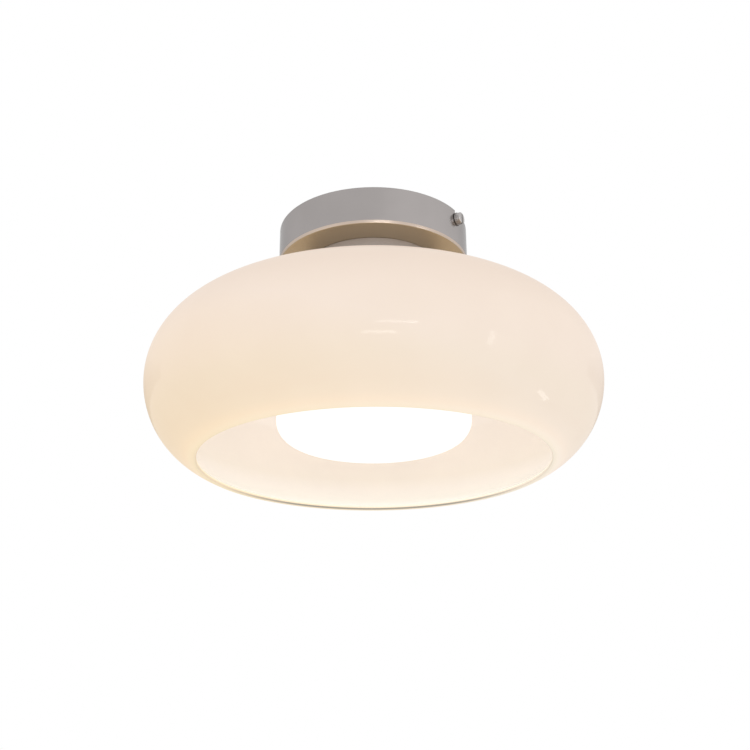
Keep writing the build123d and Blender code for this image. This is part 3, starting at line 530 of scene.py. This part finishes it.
def shade_profile(sizes):
    """The glass in section: seat, crown, shoulder and bowl, a half-round rim, and back inside."""
    high = box_corners("glass_shade")[1]
    radius, seat_level = high[:2].min(), high[2]
    hole = frame_hole("glass_shade")
    wall = sizes.wall
    span = radius - sizes.shoulder_radius - sizes.seat_radius
    turn = 2 * math.atan(sizes.crown_fall / span)
    crown_radius = sizes.shoulder_radius + span / math.sin(turn)
    crown = (sizes.seat_radius, seat_level - crown_radius)
    shoulder = (
        radius - sizes.shoulder_radius,
        crown[1] + (crown_radius - sizes.shoulder_radius) * math.cos(turn),
    )
    bowl = (radius - sizes.bowl_radius, shoulder[1])
    lean = 90 - math.degrees(turn)
    sweep = math.degrees(sizes.rim_sweep)
    mid = sizes.bowl_radius - wall / 2
    rim = (
        bowl[0] + mid * math.cos(sizes.rim_sweep),
        bowl[1] - mid * math.sin(sizes.rim_sweep),
    )
    return joined(
        run((hole, seat_level), (sizes.seat_radius, seat_level), 8),
        arc(crown, crown_radius, 90, lean, 30),
        arc(shoulder, sizes.shoulder_radius, lean, 0, 34),
        arc(bowl, sizes.bowl_radius, 0, -sweep, 38),
        arc(rim, wall / 2, -sweep, -sweep - 180, 17),
        arc(bowl, sizes.bowl_radius - wall, -sweep, 0, 34),
        arc(shoulder, sizes.shoulder_radius - wall, 0, lean, 30),
        arc(crown, crown_radius - wall, lean, 90, 24),
        run((sizes.seat_radius, seat_level - wall), (hole, seat_level - wall), 6),
    )


# Shares of the glass's profile, from its hole over the outside to the hole inside, and the glow
# there. The rim lies between 0.501 and 0.512. The glow is the lamp's light through the glass,
# with painted shade: darker near the hole outside and inside, where the tray and clamp shade the
# crown, and a little darker across the lip. The brighter ring on the crown under the canopy is
# painted light that the plated metal above reflects.
GLOW_AND_SHADE_STOPS = (
    (0.0, (0.40, 0.29, 0.17)),
    (0.06, (0.72, 0.54, 0.34)),
    (0.10, (0.72, 0.55, 0.36)),
    (0.15, (0.52, 0.41, 0.31)),
    (0.24, (0.355, 0.288, 0.247)),
    (0.29, (0.365, 0.295, 0.255)),
    (0.34, (0.396, 0.332, 0.292)),
    (0.385, (0.395, 0.337, 0.296)),
    (0.425, (0.385, 0.335, 0.280)),
    (0.458, (0.396, 0.341, 0.286)),
    (0.476, (0.423, 0.367, 0.312)),
    (0.489, (0.48, 0.405, 0.340)),
    (0.497, (0.49, 0.445, 0.385)),
    (0.5015, (0.48, 0.435, 0.355)),
    (0.5045, (0.43, 0.395, 0.325)),
    (0.5085, (0.41, 0.390, 0.330)),
    (0.5125, (0.50, 0.55, 0.50)),
    (0.517, (0.482, 0.539, 0.535)),
    (0.54, (0.406, 0.434, 0.412)),
    (0.573, (0.399, 0.384, 0.367)),
    (0.60, (0.358, 0.331, 0.296)),
    (0.63, (0.367, 0.328, 0.297)),
    (0.69, (0.351, 0.307, 0.280)),
    (0.75, (0.28, 0.25, 0.21)),
    (1.0, (0.12, 0.10, 0.08)),
)
INSIDE_START = (0.509, 0.513)
# Painted shade: a narrow dark line along the lip, strongest on the side away from the camera.
LIP_SHADE_BAND = (0.5042, 0.5054, 0.5072, 0.5084)
LIP_SHADE_GLOW = (0.07, 0.065, 0.055)
LIP_SHADE_TONE = (0.42, 0.38, 0.32)
NEAR_LIP_SHADE = 0.25
FAR_WAY = (-0.5, 0.866, 0)
FAR_RANGE = (0.05, 0.1)
# Painted warm light: outside, low down on one side, the glow is tinted warmer.
WARM_LIGHT_TINT = (0.99, 0.85, 0.55)
WARM_LIGHT_WAY = (-3.81, -2.2, -13.2)
WARM_LIGHT_RANGE = (1.68, 2.68)


def opal_glass():
    """Cream opal glass lit from within, with a thin clear skin that carries the gloss.

    The glow follows the profile's length: even over the outside, brighter towards the open rim and
    just inside it, with painted shade on the crown near the hole. Outside it is warmer low down on
    one side, painted warm light. A narrow dark line of painted shade follows the lip, full on the
    side away from the camera and faint on the near side.
    """
    finish = Finish("opal_glass", Roughness=0.35)
    along = finish.share(1)
    inner = finish.spread(along, 0.0, 1.0, *INSIDE_START)
    # Painted warm light on the outside, low down on one side.
    warm = finish.spread(finish.reach(WARM_LIGHT_WAY), 0.0, 1.0, *WARM_LIGHT_RANGE)
    outer_warm_light = finish.add(
        "Math", settings={"operation": "SUBTRACT", "use_clamp": True}, i0=warm, i1=inner
    )
    glow = finish.add(
        "Mix", 2, settings={"data_type": "RGBA", "blend_type": "MULTIPLY"},
        i0=outer_warm_light, i6=finish.ramp(along, GLOW_AND_SHADE_STOPS), i7=WARM_LIGHT_TINT,
    )
    # Painted shade: the dark line along the lip, full on the far side.
    far = finish.spread(finish.reach(FAR_WAY), NEAR_LIP_SHADE, 1.0, *FAR_RANGE)
    lip = finish.product(finish.band(along, *LIP_SHADE_BAND), far)
    finish.set("Emission Color", finish.blended(lip, glow, LIP_SHADE_GLOW))
    finish.set("Emission Strength", 1.0)
    cloud = finish.spread(finish.noise(30.0, 2.0), 0, 1)
    outside = finish.blended(cloud, (0.77, 0.665, 0.565), (0.79, 0.685, 0.585))
    inside = finish.blended(cloud, (0.68, 0.63, 0.575), (0.71, 0.655, 0.595))
    tone = finish.blended(inner, outside, inside)
    finish.set("Base Color", finish.blended(lip, tone, LIP_SHADE_TONE))
    finish.set("Specular IOR Level", 0.0)
    finish.set("Coat Weight", finish.spread(inner, 0.2, 1.0, 0.0, 1.0))
    finish.set("Coat Roughness", 0.05)
    finish.set("Coat IOR", 1.45)
    return finish.material


class LIGHT_OT_shade(bpy.types.Operator):
    """Make the opal glass shade"""

    bl_idname = "ceiling_light.shade"
    bl_label = "Glass shade"

    def execute(self, context):
        sizes = context.scene.light_shade
        angles = np.linspace(0, FULL_TURN, sizes.around, endpoint=False)
        piece = surface("shade_glass", turned(shade_profile(sizes), angles), wrap_along=True)
        dressed(piece, "lamp_body", opal_glass(), "opal_glass", "glass_shade")
        return {"FINISHED"}


def drum_profile(sizes):
    """The drum in section, from the middle of its floor outside to the same place inside."""
    low, high = box_corners("diffuser")
    radius, top, floor = high[:2].min(), high[2], low[2]
    wall, edge = sizes.wall, sizes.edge_radius
    corner = (radius - edge, floor + edge)
    lip = wall * BEAD_SHARE
    return joined(
        run((0, floor), (corner[0], floor), 24),
        arc(corner, edge, -90, 0, 18),
        run((radius, corner[1]), (radius, top - lip), 24),
        arc((radius - lip, top - lip), lip, 0, 90, 5),
        arc((radius - wall + lip, top - lip), lip, 90, 180, 5),
        run((radius - wall, top - lip), (radius - wall, corner[1]), 24),
        arc(corner, edge - wall, 0, -90, 14),
        run((corner[0], floor + wall), (0, floor + wall), 20),
    )


# Shares of the drum's height, from its floor up, and the glow there.
DRUM_STOPS = ((0.0, (1.0, 1.0, 1.0)), (0.25, (0.90, 0.88, 0.85)), (1.0, (0.42, 0.37, 0.30)))


def drum_acrylic(glow):
    """Satin opal acrylic over the lit chips, brightest at its floor."""
    finish = Finish("opal_acrylic", Roughness=0.38)
    finish.bump(finish.noise(1500.0, 2.0), 0.25, 1e-5)
    cloud = finish.spread(finish.noise(25.0, 2.0), 0, 1)
    finish.set("Base Color", finish.blended(cloud, (0.80, 0.79, 0.77), (0.84, 0.83, 0.81)))
    height = finish.add("SeparateXYZ", 2, Vector=finish.place())
    low, high = box_corners("diffuser")
    level = finish.spread(height, 0.0, 1.0, float(low[2]), float(high[2]))
    finish.set("Emission Color", finish.ramp(level, DRUM_STOPS))
    finish.set("Emission Strength", glow)
    return finish.material


class LIGHT_OT_drum(bpy.types.Operator):
    """Make the lit opal drum"""

    bl_idname = "ceiling_light.drum"
    bl_label = "Opal drum"

    def execute(self, context):
        sizes = context.scene.light_drum
        angles = np.linspace(0, FULL_TURN, STEPS_ROUND, endpoint=False)
        piece = surface("drum", turned(drum_profile(sizes), angles))
        dressed(piece, "diffuser", drum_acrylic(sizes.glow), "opal_acrylic", "diffuser")
        return {"FINISHED"}


NOTCH_MARGIN = 1.012
# Painted light: the collar's plate is the canopy's made lighter, for what its wall reflects.
COLLAR_LIGHT_GAIN = 1.42
# Painted reflection: a warmer, lighter colour for the glowing glass the underside reflects.
UNDERSIDE_REFLECTION = (0.43, 0.372, 0.285)
# Painted highlight: a lighter, warm colour on the canopy's lower bevel.
BEVEL_HIGHLIGHT = (0.54, 0.44, 0.37)


def canopy_angles(radius, notch):
    """Angles round the canopy, closer together across the two notches and at their sides."""
    half = math.asin(notch / radius)
    inside = half * np.sin(np.radians(np.linspace(-90, 90, 17)))
    outside = np.linspace(half * NOTCH_MARGIN, math.pi - half * NOTCH_MARGIN, 110)
    return np.concatenate([inside, outside, math.pi + inside, math.pi + outside])


def canopy_profile(sizes, radius, floor):
    """The cup in section, and where its bevel, with a painted highlight, starts and ends."""
    wall, edge, slope = sizes.wall, sizes.edge_radius, sizes.bevel_slope
    foot = floor + sizes.bevel_height
    fall = foot - floor - edge + edge * math.sin(slope)
    corner = (radius - fall * math.tan(slope) - edge * math.cos(slope), floor + edge)
    bead = wall * BEAD_SHARE
    inner = (radius - 2 * wall, floor + 2 * wall)
    below = joined(
        run((sizes.hole_radius, floor), (corner[0], floor), 26),
        arc(corner, edge, -90, -math.degrees(slope), 8),
    )
    bevel = run(below[-1], (radius, foot), 5)
    profile = joined(
        below,
        bevel,
        run((radius, foot), (radius, -bead), 20),
        arc((radius - bead, -bead), bead, 0, 90, 5),
        arc((radius - wall + bead, -bead), bead, 90, 180, 5),
        run((radius - wall, -bead), (radius - wall, inner[1]), 16),
        arc(inner, wall, 0, -90, 8),
        run((inner[0], floor + wall), (sizes.hole_radius, floor + wall), 20),
    )
    return profile, (len(below) - 1, len(below) + len(bevel) - 2)


def canopy_surface(sizes, profile, radius, foot):
    """The cup turned about Z, with the wall's top lowered to a U in each notch.

    A wall point at height z goes to foot + (z - foot)(top(a) - foot)/(0 - foot), where top(a) is
    the ceiling, 0, or the notch's lower edge, -drop - sqrt(n^2 - y^2), where |y| < n.
    """
    angles = canopy_angles(radius, sizes.notch_radius)
    points = turned(profile, angles)
    across = np.abs(radius * np.sin(angles))
    inside = across <= sizes.notch_radius * (1 + 1e-6)
    depth = sizes.notch_drop + np.sqrt(np.clip(sizes.notch_radius**2 - across**2, 0, None))
    top = np.where(inside, -depth, 0.0)
    rise = np.clip(points[:, :, 2] - foot, 0, None) / -foot
    points[:, :, 2] += rise * top[:, None]
    return points


def plated(name, colour, roughness, bevel=None):
    """Satin chrome plate, a little uneven in tone and polish.

    The bevel gives its start and end along the profile, the colour of the underside before it, a
    painted reflection of the glowing glass, and its own colour, a painted highlight.
    """
    finish = Finish(name, Metallic=1.0)
    dark, light = shades(colour, 0.03)
    tone = finish.blended(finish.spread(finish.noise(35.0, 2.0), 0, 1), dark, light)
    grain = finish.noise(500.0, 3.0, 0.55, (1, 1, 6))
    rough = finish.spread(grain, roughness * 0.85, roughness * 1.15)
    # Before the bevel a painted reflection, on the bevel a painted highlight.
    if bevel:
        start, end, underside, highlighted = bevel
        along = finish.share(1)
        for place, below, polish in ((end, highlighted, 0.3), (start, underside, 0.45)):
            above = finish.spread(along, 0.0, 1.0, place - 0.001, place)
            tone = finish.blended(above, below, tone)
            rough = finish.add(
                "Mix", settings={"data_type": "FLOAT"}, i0=above, i2=polish, i3=rough
            )
    finish.set("Roughness", rough)
    finish.set("Base Color", tone)
    finish.set("Specular Tint", (0.7, 0.7, 0.7))
    return finish.material


class LIGHT_OT_canopy(bpy.types.Operator):
    """Make the canopy"""

    bl_idname = "ceiling_light.canopy"
    bl_label = "Canopy"

    def execute(self, context):
        sizes = context.scene.light_canopy
        low, high = box_corners("canopy")
        radius = high[:2].min()
        profile, ends = canopy_profile(sizes, radius, low[2])
        along = shares_along(profile, True)
        points = canopy_surface(sizes, profile, radius, low[2] + sizes.bevel_height)
        piece = surface("canopy_cup", points, wrap_along=True, along=along)
        start, end = (float(along[place]) for place in ends)
        bevel = (start, end, UNDERSIDE_REFLECTION, BEVEL_HIGHLIGHT)
        material = plated("canopy_plate", tuple(sizes.metal), 0.22, bevel)
        dressed(piece, "lamp_body", material, "chrome", "canopy")
        return {"FINISHED"}


def collar_profile(sizes):
    """The collar in section: hole, top, small edge, wall, open foot, and back inside."""
    low, high = box_corners("collar")
    radius, top, foot = high[:2].min(), high[2], low[2]
    wall, edge = sizes.wall, sizes.collar_edge_radius
    corner = (radius - edge, top - edge)
    bead = wall * BEAD_SHARE
    return joined(
        run((sizes.hole_radius, top), (corner[0], top), 16),
        arc(corner, edge, 90, 0, 8),
        run((radius, corner[1]), (radius, foot + bead), 20),
        arc((radius - bead, foot + bead), bead, 0, -90, 5),
        arc((radius - wall + bead, foot + bead), bead, -90, -180, 5),
        run((radius - wall, foot + bead), (radius - wall, top - wall), 16),
        run((radius - wall, top - wall), (sizes.hole_radius, top - wall), 12),
    )


class LIGHT_OT_collar(bpy.types.Operator):
    """Make the collar between the canopy and the glass"""

    bl_idname = "ceiling_light.collar"
    bl_label = "Collar"

    def execute(self, context):
        sizes = context.scene.light_canopy
        angles = np.linspace(0, FULL_TURN, STEPS_ROUND, endpoint=False)
        piece = surface("collar_cup", turned(collar_profile(sizes), angles), wrap_along=True)
        # The collar's lighter plate is painted light.
        material = plated("collar_plate", tuple(c * COLLAR_LIGHT_GAIN for c in sizes.metal), 0.6)
        dressed(piece, "lamp_body", material, "chrome", "collar")
        return {"FINISHED"}


# Number of chips and radius of each circle of them.
CHIP_CIRCLES = ((8, 0.024), (12, 0.034), (18, 0.047))
CHIP_SIZE = (0.0028, 0.0035)
CHIP_POINTS = 12
PHOSPHOR_RADIUS = 0.0011
PHOSPHOR_DEPTH = 0.00015


def chip_rings():
    """One chip as rings of twelve points (x, y, height): a block with a round recess below.

    Ring by ring: the middle of its top, the block's corners and side thirds at the top and at the
    bottom, the recess's edge, the recess's floor, and the floor's middle.
    """
    third = np.array([-1.0, -1 / 3, 1 / 3])
    one = np.ones(3)
    block = np.concatenate(
        [np.stack(side, 1) for side in ((third, -one), (one, third), (-third, one), (-one, -third))]
    )
    turn = np.arctan2(block[:, 1], block[:, 0])
    circle = np.stack([np.cos(turn), np.sin(turn)], 1) * PHOSPHOR_RADIUS
    block = block * np.array(CHIP_SIZE) / 2
    middle = np.zeros((CHIP_POINTS, 2))
    low, high = box_corners("led_chips")
    floor = low[2] + PHOSPHOR_DEPTH
    levels = (
        (middle, high[2]), (block, high[2]), (block, low[2]), (circle, low[2]),
        (circle * 0.9, floor), (middle, floor),
    )
    return np.stack(
        [np.column_stack([plan, np.full(CHIP_POINTS, height)]) for plan, height in levels]
    )


def chip_places():
    """The angle and distance from the axis of every chip: each circle starts half a step round."""
    steps = [(np.arange(count) + 0.5) * FULL_TURN / count for count, _ in CHIP_CIRCLES]
    distances = [np.full(count, radius) for count, radius in CHIP_CIRCLES]
    return np.concatenate(steps), np.concatenate(distances)


def chip_mesh():
    """All chips in one mesh, with each chip's own (x, y) in millimetres as its UV map.

    A point (x, y) of the chip at angle a and distance d from the axis goes to
    ((d + x) cos a - y sin a, (d + x) sin a + y cos a).
    """
    rings = chip_rings()
    local = rings.reshape(-1, 3)
    angle, distance = (values[:, None] for values in chip_places())
    out, across = distance + local[:, 0], local[:, 1]
    points = np.stack(
        [
            out * np.cos(angle) - across * np.sin(angle),
            out * np.sin(angle) + across * np.cos(angle),
            np.broadcast_to(local[:, 2], out.shape),
        ],
        2,
    )
    ring, place = np.meshgrid(np.arange(len(rings) - 1), np.arange(CHIP_POINTS), indexing="ij")
    first, after = ring * CHIP_POINTS, (place + 1) % CHIP_POINTS
    second = first + CHIP_POINTS
    quads = np.stack(
        [first + place, second + place, second + after, first + after], 2
    ).reshape(-1, 4)
    faces = quads[None] + (np.arange(len(points)) * len(local))[:, None, None]
    mesh = bpy.data.meshes.new("chips")
    mesh.from_pydata(points.reshape(-1, 3).tolist(), [], faces.reshape(-1, 4).tolist())
    plan = np.tile(local[quads][:, :, :2] / MM, (len(points), 1, 1))
    mesh.uv_layers.new(name="UVMap").data.foreach_set("uv", plan.astype(np.float32).ravel())
    return mesh


def chip_finish():
    """White packages, each with a round pool of lit yellow phosphor."""
    finish = Finish("chip_package", Roughness=0.35)
    place = finish.add("TexCoord", "UV")
    out = finish.add("VectorMath", "Value", settings={"operation": "LENGTH"}, i0=place)
    pool = finish.spread(out, 1.0, 0.0, 1.0, 1.08)
    grain = finish.spread(finish.noise(2500.0, 3.0), 0, 1)
    phosphor = finish.blended(grain, (0.78, 0.60, 0.10), (0.88, 0.72, 0.18))
    finish.set("Base Color", finish.blended(pool, (0.80, 0.80, 0.78), phosphor))
    finish.set("Roughness", finish.spread(pool, 0.3, 0.6, 0.0, 1.0))
    finish.bump(grain, 0.5, 1e-5)
    finish.set("Emission Color", finish.blended(pool, (0.0, 0.0, 0.0), (1.0, 0.86, 0.60)))
    finish.set("Emission Strength", 1.1)
    return finish.material


class LIGHT_OT_chips(bpy.types.Operator):
    """Make the LED chips on the board"""

    bl_idname = "ceiling_light.chips"
    bl_label = "LED chips"

    def execute(self, context):
        piece = finished("chips", chip_mesh())
        dressed(piece, "lamp_body", chip_finish(), "chip_phosphor", "led_chips")
        return {"FINISHED"}


# ---------------------------------------------------------------- finishes of the CAD nodes


# A row holds the material's name and colour, its roughness, the share by which its tone changes,
# the height of its relief in metres, and the grain's number of waves in a metre.
METALS = {
    "zinc_steel": ("zinc_plate", (0.56, 0.57, 0.59), 0.34, 0.1, 4e-6, 300.0),
    "brass": ("brass", (0.66, 0.47, 0.18), 0.28, 0.08, 3e-6, 400.0),
    "spring_steel": ("spring_steel", (0.40, 0.41, 0.43), 0.3, 0.08, 3e-6, 250.0, (1, 1, 8)),
    "solder": ("solder", (0.62, 0.62, 0.63), 0.22, 0.1, 1e-5, 500.0),
}
PLASTICS = {
    "white_enamel": ("white_enamel", (0.80, 0.80, 0.77), 0.3, 0.02, 3e-5, 350.0),
    "case_plastic": ("case_plastic", (0.76, 0.76, 0.73), 0.5, 0.03, 2e-5, 1200.0),
    "block_plastic": ("block_plastic", (0.72, 0.71, 0.64), 0.4, 0.04, 1e-5, 700.0),
    "black_plastic": ("black_plastic", (0.02, 0.02, 0.022), 0.45, 0.1, 1e-5, 900.0),
    "silicone": ("silicone", (0.62, 0.62, 0.58), 0.35, 0.05, 2e-5, 500.0),
    "thermal_pad": ("thermal_pad", (0.42, 0.45, 0.50), 0.7, 0.08, 3e-5, 600.0),
    "board_alloy": ("board_mask", (0.84, 0.84, 0.82), 0.3, 0.03, 1e-5, 400.0),
    "circuit_board": ("circuit_board", (0.02, 0.09, 0.03), 0.3, 0.15, 1e-5, 500.0),
    "transformer": ("winding_tape", (0.62, 0.45, 0.06), 0.4, 0.1, 3e-5, 300.0),
    "capacitor_sleeve": ("capacitor_sleeve", (0.012, 0.014, 0.02), 0.2, 0.1, 1e-5, 300.0),
}
SCATTER = {
    "block_plastic": {"Subsurface_Weight": 0.2, "Subsurface_Radius": (0.002, 0.002, 0.0015)},
    "silicone": {"Subsurface_Weight": 0.3, "Subsurface_Radius": (0.002, 0.002, 0.002)},
}


def node_finishes():
    """The finish of each CAD node that is shown as it is, by its slot."""
    finishes = {slot: metal(*row) for slot, row in METALS.items()}
    finishes["chrome"] = plated("screw_chrome", (0.47, 0.45, 0.44), 0.4)
    for slot, row in PLASTICS.items():
        finishes[slot] = moulded(*row, **SCATTER.get(slot, {})).material
    return finishes


class LIGHT_OT_finishes(bpy.types.Operator):
    """Give the carried-over metal, plastic and rubber parts their finishes"""

    bl_idname = "ceiling_light.finishes"
    bl_label = "Finishes"

    def execute(self, context):
        finishes = node_finishes()
        for row in frame["record"]["subparts"]:
            node, slot = row["node"], row["material_slot"]
            if slot in finishes:
                mesh = frame["nodes"][node].data
                mesh.materials.clear()
                mesh.materials.append(finishes[slot])
        return {"FINISHED"}


# ---------------------------------------------------------------- stage


CAMERA_PLACE = (0.0, -0.6846, -0.3704)
CAMERA_TILT, CAMERA_TURN, CAMERA_ROLL = (math.radians(angle) for angle in (21.165, 0.066, -0.325))
CAMERA_LENS = 52.8
MIDDLE = (0, 0, -0.11)
LAMP_DISTANCE = 2.4
SURROUND_LIGHT, SURROUND_SHOWN = 0.62, 1.0
FLOOR_LEVEL, FLOOR_HALF, FLOOR_GLOW = -1.7, 12.0, 0.49
CARD_FADE = 0.09


def look_matrix():
    """The camera's frame: it stands at azimuth 30, below the light, and looks up at 21 degrees."""
    ahead = Vector((
        math.sin(CAMERA_TURN) * math.cos(CAMERA_TILT),
        math.cos(CAMERA_TURN) * math.cos(CAMERA_TILT),
        math.sin(CAMERA_TILT),
    ))
    right = ahead.cross(Vector((0, 0, 1))).normalized()
    up = right.cross(ahead)
    right, up = (
        math.cos(CAMERA_ROLL) * right + math.sin(CAMERA_ROLL) * up,
        math.cos(CAMERA_ROLL) * up - math.sin(CAMERA_ROLL) * right,
    )
    local = Matrix((right, up, -ahead)).transposed().to_4x4()
    return Matrix.Rotation(CAMERA_AZIMUTH, 4, "Z") @ Matrix.Translation(CAMERA_PLACE) @ local


def softbox(name, way, width, height, radiance, lights):
    """A rectangular lamp of a given brightness that faces the light.

    Without lights it is seen only as a gloss.
    """
    lamp = bpy.data.lights.new(name, "AREA")
    lamp.shape = "RECTANGLE"
    lamp.size, lamp.size_y = width, height
    lamp.energy = radiance * width * height * math.pi
    item = bpy.data.objects.new(name, lamp)
    away = Vector(way).normalized() * LAMP_DISTANCE
    turn = (-away).to_track_quat("-Z", "Y").to_matrix().to_4x4()
    item.matrix_world = Matrix.Translation(Vector(MIDDLE) + away) @ turn
    item.visible_camera = False
    item.visible_diffuse = lights
    bpy.context.scene.collection.objects.link(item)


def flag(width, low, high, behind):
    """A card behind the light, seen only as a gloss, that marks the edges of the glass.

    It is black, and fades to the surround's white at its upper edge. Its point (x, z) is turned
    about Z by the camera's azimuth a: (x cos a - b sin a, x sin a + b cos a, z), b being behind.
    """
    x, z = np.meshgrid([-width / 2, width / 2], [low, high], indexing="ij")
    sine, cosine = math.sin(CAMERA_AZIMUTH), math.cos(CAMERA_AZIMUTH)
    points = np.stack([x * cosine - behind * sine, x * sine + behind * cosine, z], 2)
    card = surface("flag", points, wrap_around=False)
    finish = Finish(
        "black_card", Base_Color=(0, 0, 0), Specular_IOR_Level=0.0, Emission_Color=(1, 1, 1)
    )
    height = finish.add("SeparateXYZ", 2, Vector=finish.place())
    finish.set("Emission Strength", finish.spread(height, 0.0, 1.0, high - CARD_FADE, high))
    card.data.materials.append(finish.material)
    for ray in ("camera", "diffuse", "transmission", "volume_scatter", "shadow"):
        setattr(card, "visible_" + ray, False)
    return card


# Name, direction from the light, width, height, radiance, and whether it lights things.
LAMPS = (
    ("front", (0.62, -0.66, -0.42), 1.0, 1.7, 0.45, True),
    ("left_front", (-0.38, -0.82, -0.42), 1.6, 1.8, 0.6, True),
    ("side_front", (0.93, 0.09, -0.36), 0.8, 1.5, 1.0, True),
    ("panel", (0.85, 0.15, 0.5), 9.0, 1.4, 0.12, False),
    ("upper_streak", (0.645, -0.757, -0.109), 0.75, 0.10, 11.0, False),
    ("lower_streak", (0.50, -0.787, -0.30), 0.6, 0.14, 10.0, False),
    ("side_streak", (0.975, -0.095, -0.16), 0.14, 0.6, 7.5, False),
    ("far_streak", (0.60, 0.60, -0.50), 0.36, 0.14, 9.0, False),
)


def shown(nodes, links):
    """1 for rays from the camera, off a gloss or through glass, and 0 for those that light."""
    path = nodes.new("ShaderNodeLightPath")
    total = path.outputs["Is Camera Ray"]
    for ray in ("Is Glossy Ray", "Is Transmission Ray"):
        both = nodes.new("ShaderNodeMath")
        both.operation = "MAXIMUM"
        links.new(total, both.inputs[0])
        links.new(path.outputs[ray], both.inputs[1])
        total = both.outputs[0]
    return total


def pale_world():
    """A white surround for the camera, metal and glass, and a softer one that lights the light."""
    world = bpy.data.worlds.new("studio")
    bpy.context.scene.world = world
    world.use_nodes = True
    nodes, links = world.node_tree.nodes, world.node_tree.links
    back = nodes["Background"]
    level = nodes.new("ShaderNodeMapRange")
    links.new(shown(nodes, links), level.inputs["Value"])
    level.inputs[3].default_value = SURROUND_LIGHT
    level.inputs[4].default_value = SURROUND_SHOWN
    links.new(level.outputs["Result"], back.inputs["Strength"])
    back.inputs["Color"].default_value = (1, 1, 1, 1)


def pale_floor():
    """A matt pale floor that shows near white and keeps the light's shadow."""
    finish = Finish("floor", Roughness=0.9)
    speck = finish.spread(finish.noise(40.0), 0, 1)
    finish.set("Base Color", finish.blended(speck, (0.80, 0.80, 0.795), (0.84, 0.84, 0.835)))
    finish.set("Specular IOR Level", 0.0)
    finish.set("Emission Color", (1, 1, 1))
    level = finish.product(shown(finish.nodes, finish.links), FLOOR_GLOW)
    finish.set("Emission Strength", level)
    return finish.material


class LIGHT_OT_stage(bpy.types.Operator):
    """Make the camera, the lamps, the surround and the floor"""

    bl_idname = "ceiling_light.stage"
    bl_label = "Stage"

    def execute(self, context):
        scene = context.scene
        scene.view_settings.view_transform = "Standard"
        camera = bpy.data.cameras.new("camera")
        camera.lens, camera.sensor_width = CAMERA_LENS, 36.0
        camera.clip_start, camera.clip_end = 0.01, 100
        item = bpy.data.objects.new("camera", camera)
        item.matrix_world = look_matrix()
        scene.collection.objects.link(item)
        scene.camera = item
        pale_world()
        for lamp in LAMPS:
            softbox(*lamp)
        flag(1.6, -0.06, 0.09, 0.35)
        floor = surface("floor", ground(), wrap_around=False)
        floor.data.materials.append(pale_floor())
        return {"FINISHED"}


def ground():
    """A square of the floor plane, well below the light: (x, y) at a constant height."""
    side = (-FLOOR_HALF, FLOOR_HALF)
    x, y = np.meshgrid(side, side, indexing="ij")
    return np.stack([x, y, np.full_like(x, FLOOR_LEVEL)], 2)


# ---------------------------------------------------------------- add-on


class LIGHT_PT_panel(bpy.types.Panel):
    """Lists the light's operators and sizes"""

    bl_idname = "LIGHT_PT_panel"
    bl_label = "Ceiling Light"
    bl_space_type = "VIEW_3D"
    bl_region_type = "UI"
    bl_category = "Ceiling Light"

    def draw(self, context):
        for operator in OPERATORS:
            self.layout.operator(operator.bl_idname)
        for group in SETTINGS:
            settings = getattr(context.scene, group)
            for key in settings.__annotations__:
                self.layout.prop(settings, key)


SETTINGS = {
    "light_shade": ShadeSettings,
    "light_drum": DrumSettings,
    "light_canopy": CanopySettings,
}
OPERATORS = (
    LIGHT_OT_stage,
    LIGHT_OT_leads,
    LIGHT_OT_finishes,
    LIGHT_OT_shade,
    LIGHT_OT_drum,
    LIGHT_OT_canopy,
    LIGHT_OT_collar,
    LIGHT_OT_chips,
)


def register():
    for item in (*SETTINGS.values(), *OPERATORS, LIGHT_PT_panel):
        bpy.utils.register_class(item)
    for key, group in SETTINGS.items():
        setattr(bpy.types.Scene, key, PointerProperty(type=group))


def unregister():
    for key in SETTINGS:
        delattr(bpy.types.Scene, key)
    for item in (LIGHT_PT_panel, *OPERATORS[::-1], *SETTINGS.values()):
        bpy.utils.unregister_class(item)


def main():
    """Makes every piece in order."""
    register()
    for operator in OPERATORS:
        family, action = operator.bl_idname.split(".")
        getattr(getattr(bpy.ops, family), action)()


if __name__ == "__main__":
    main()
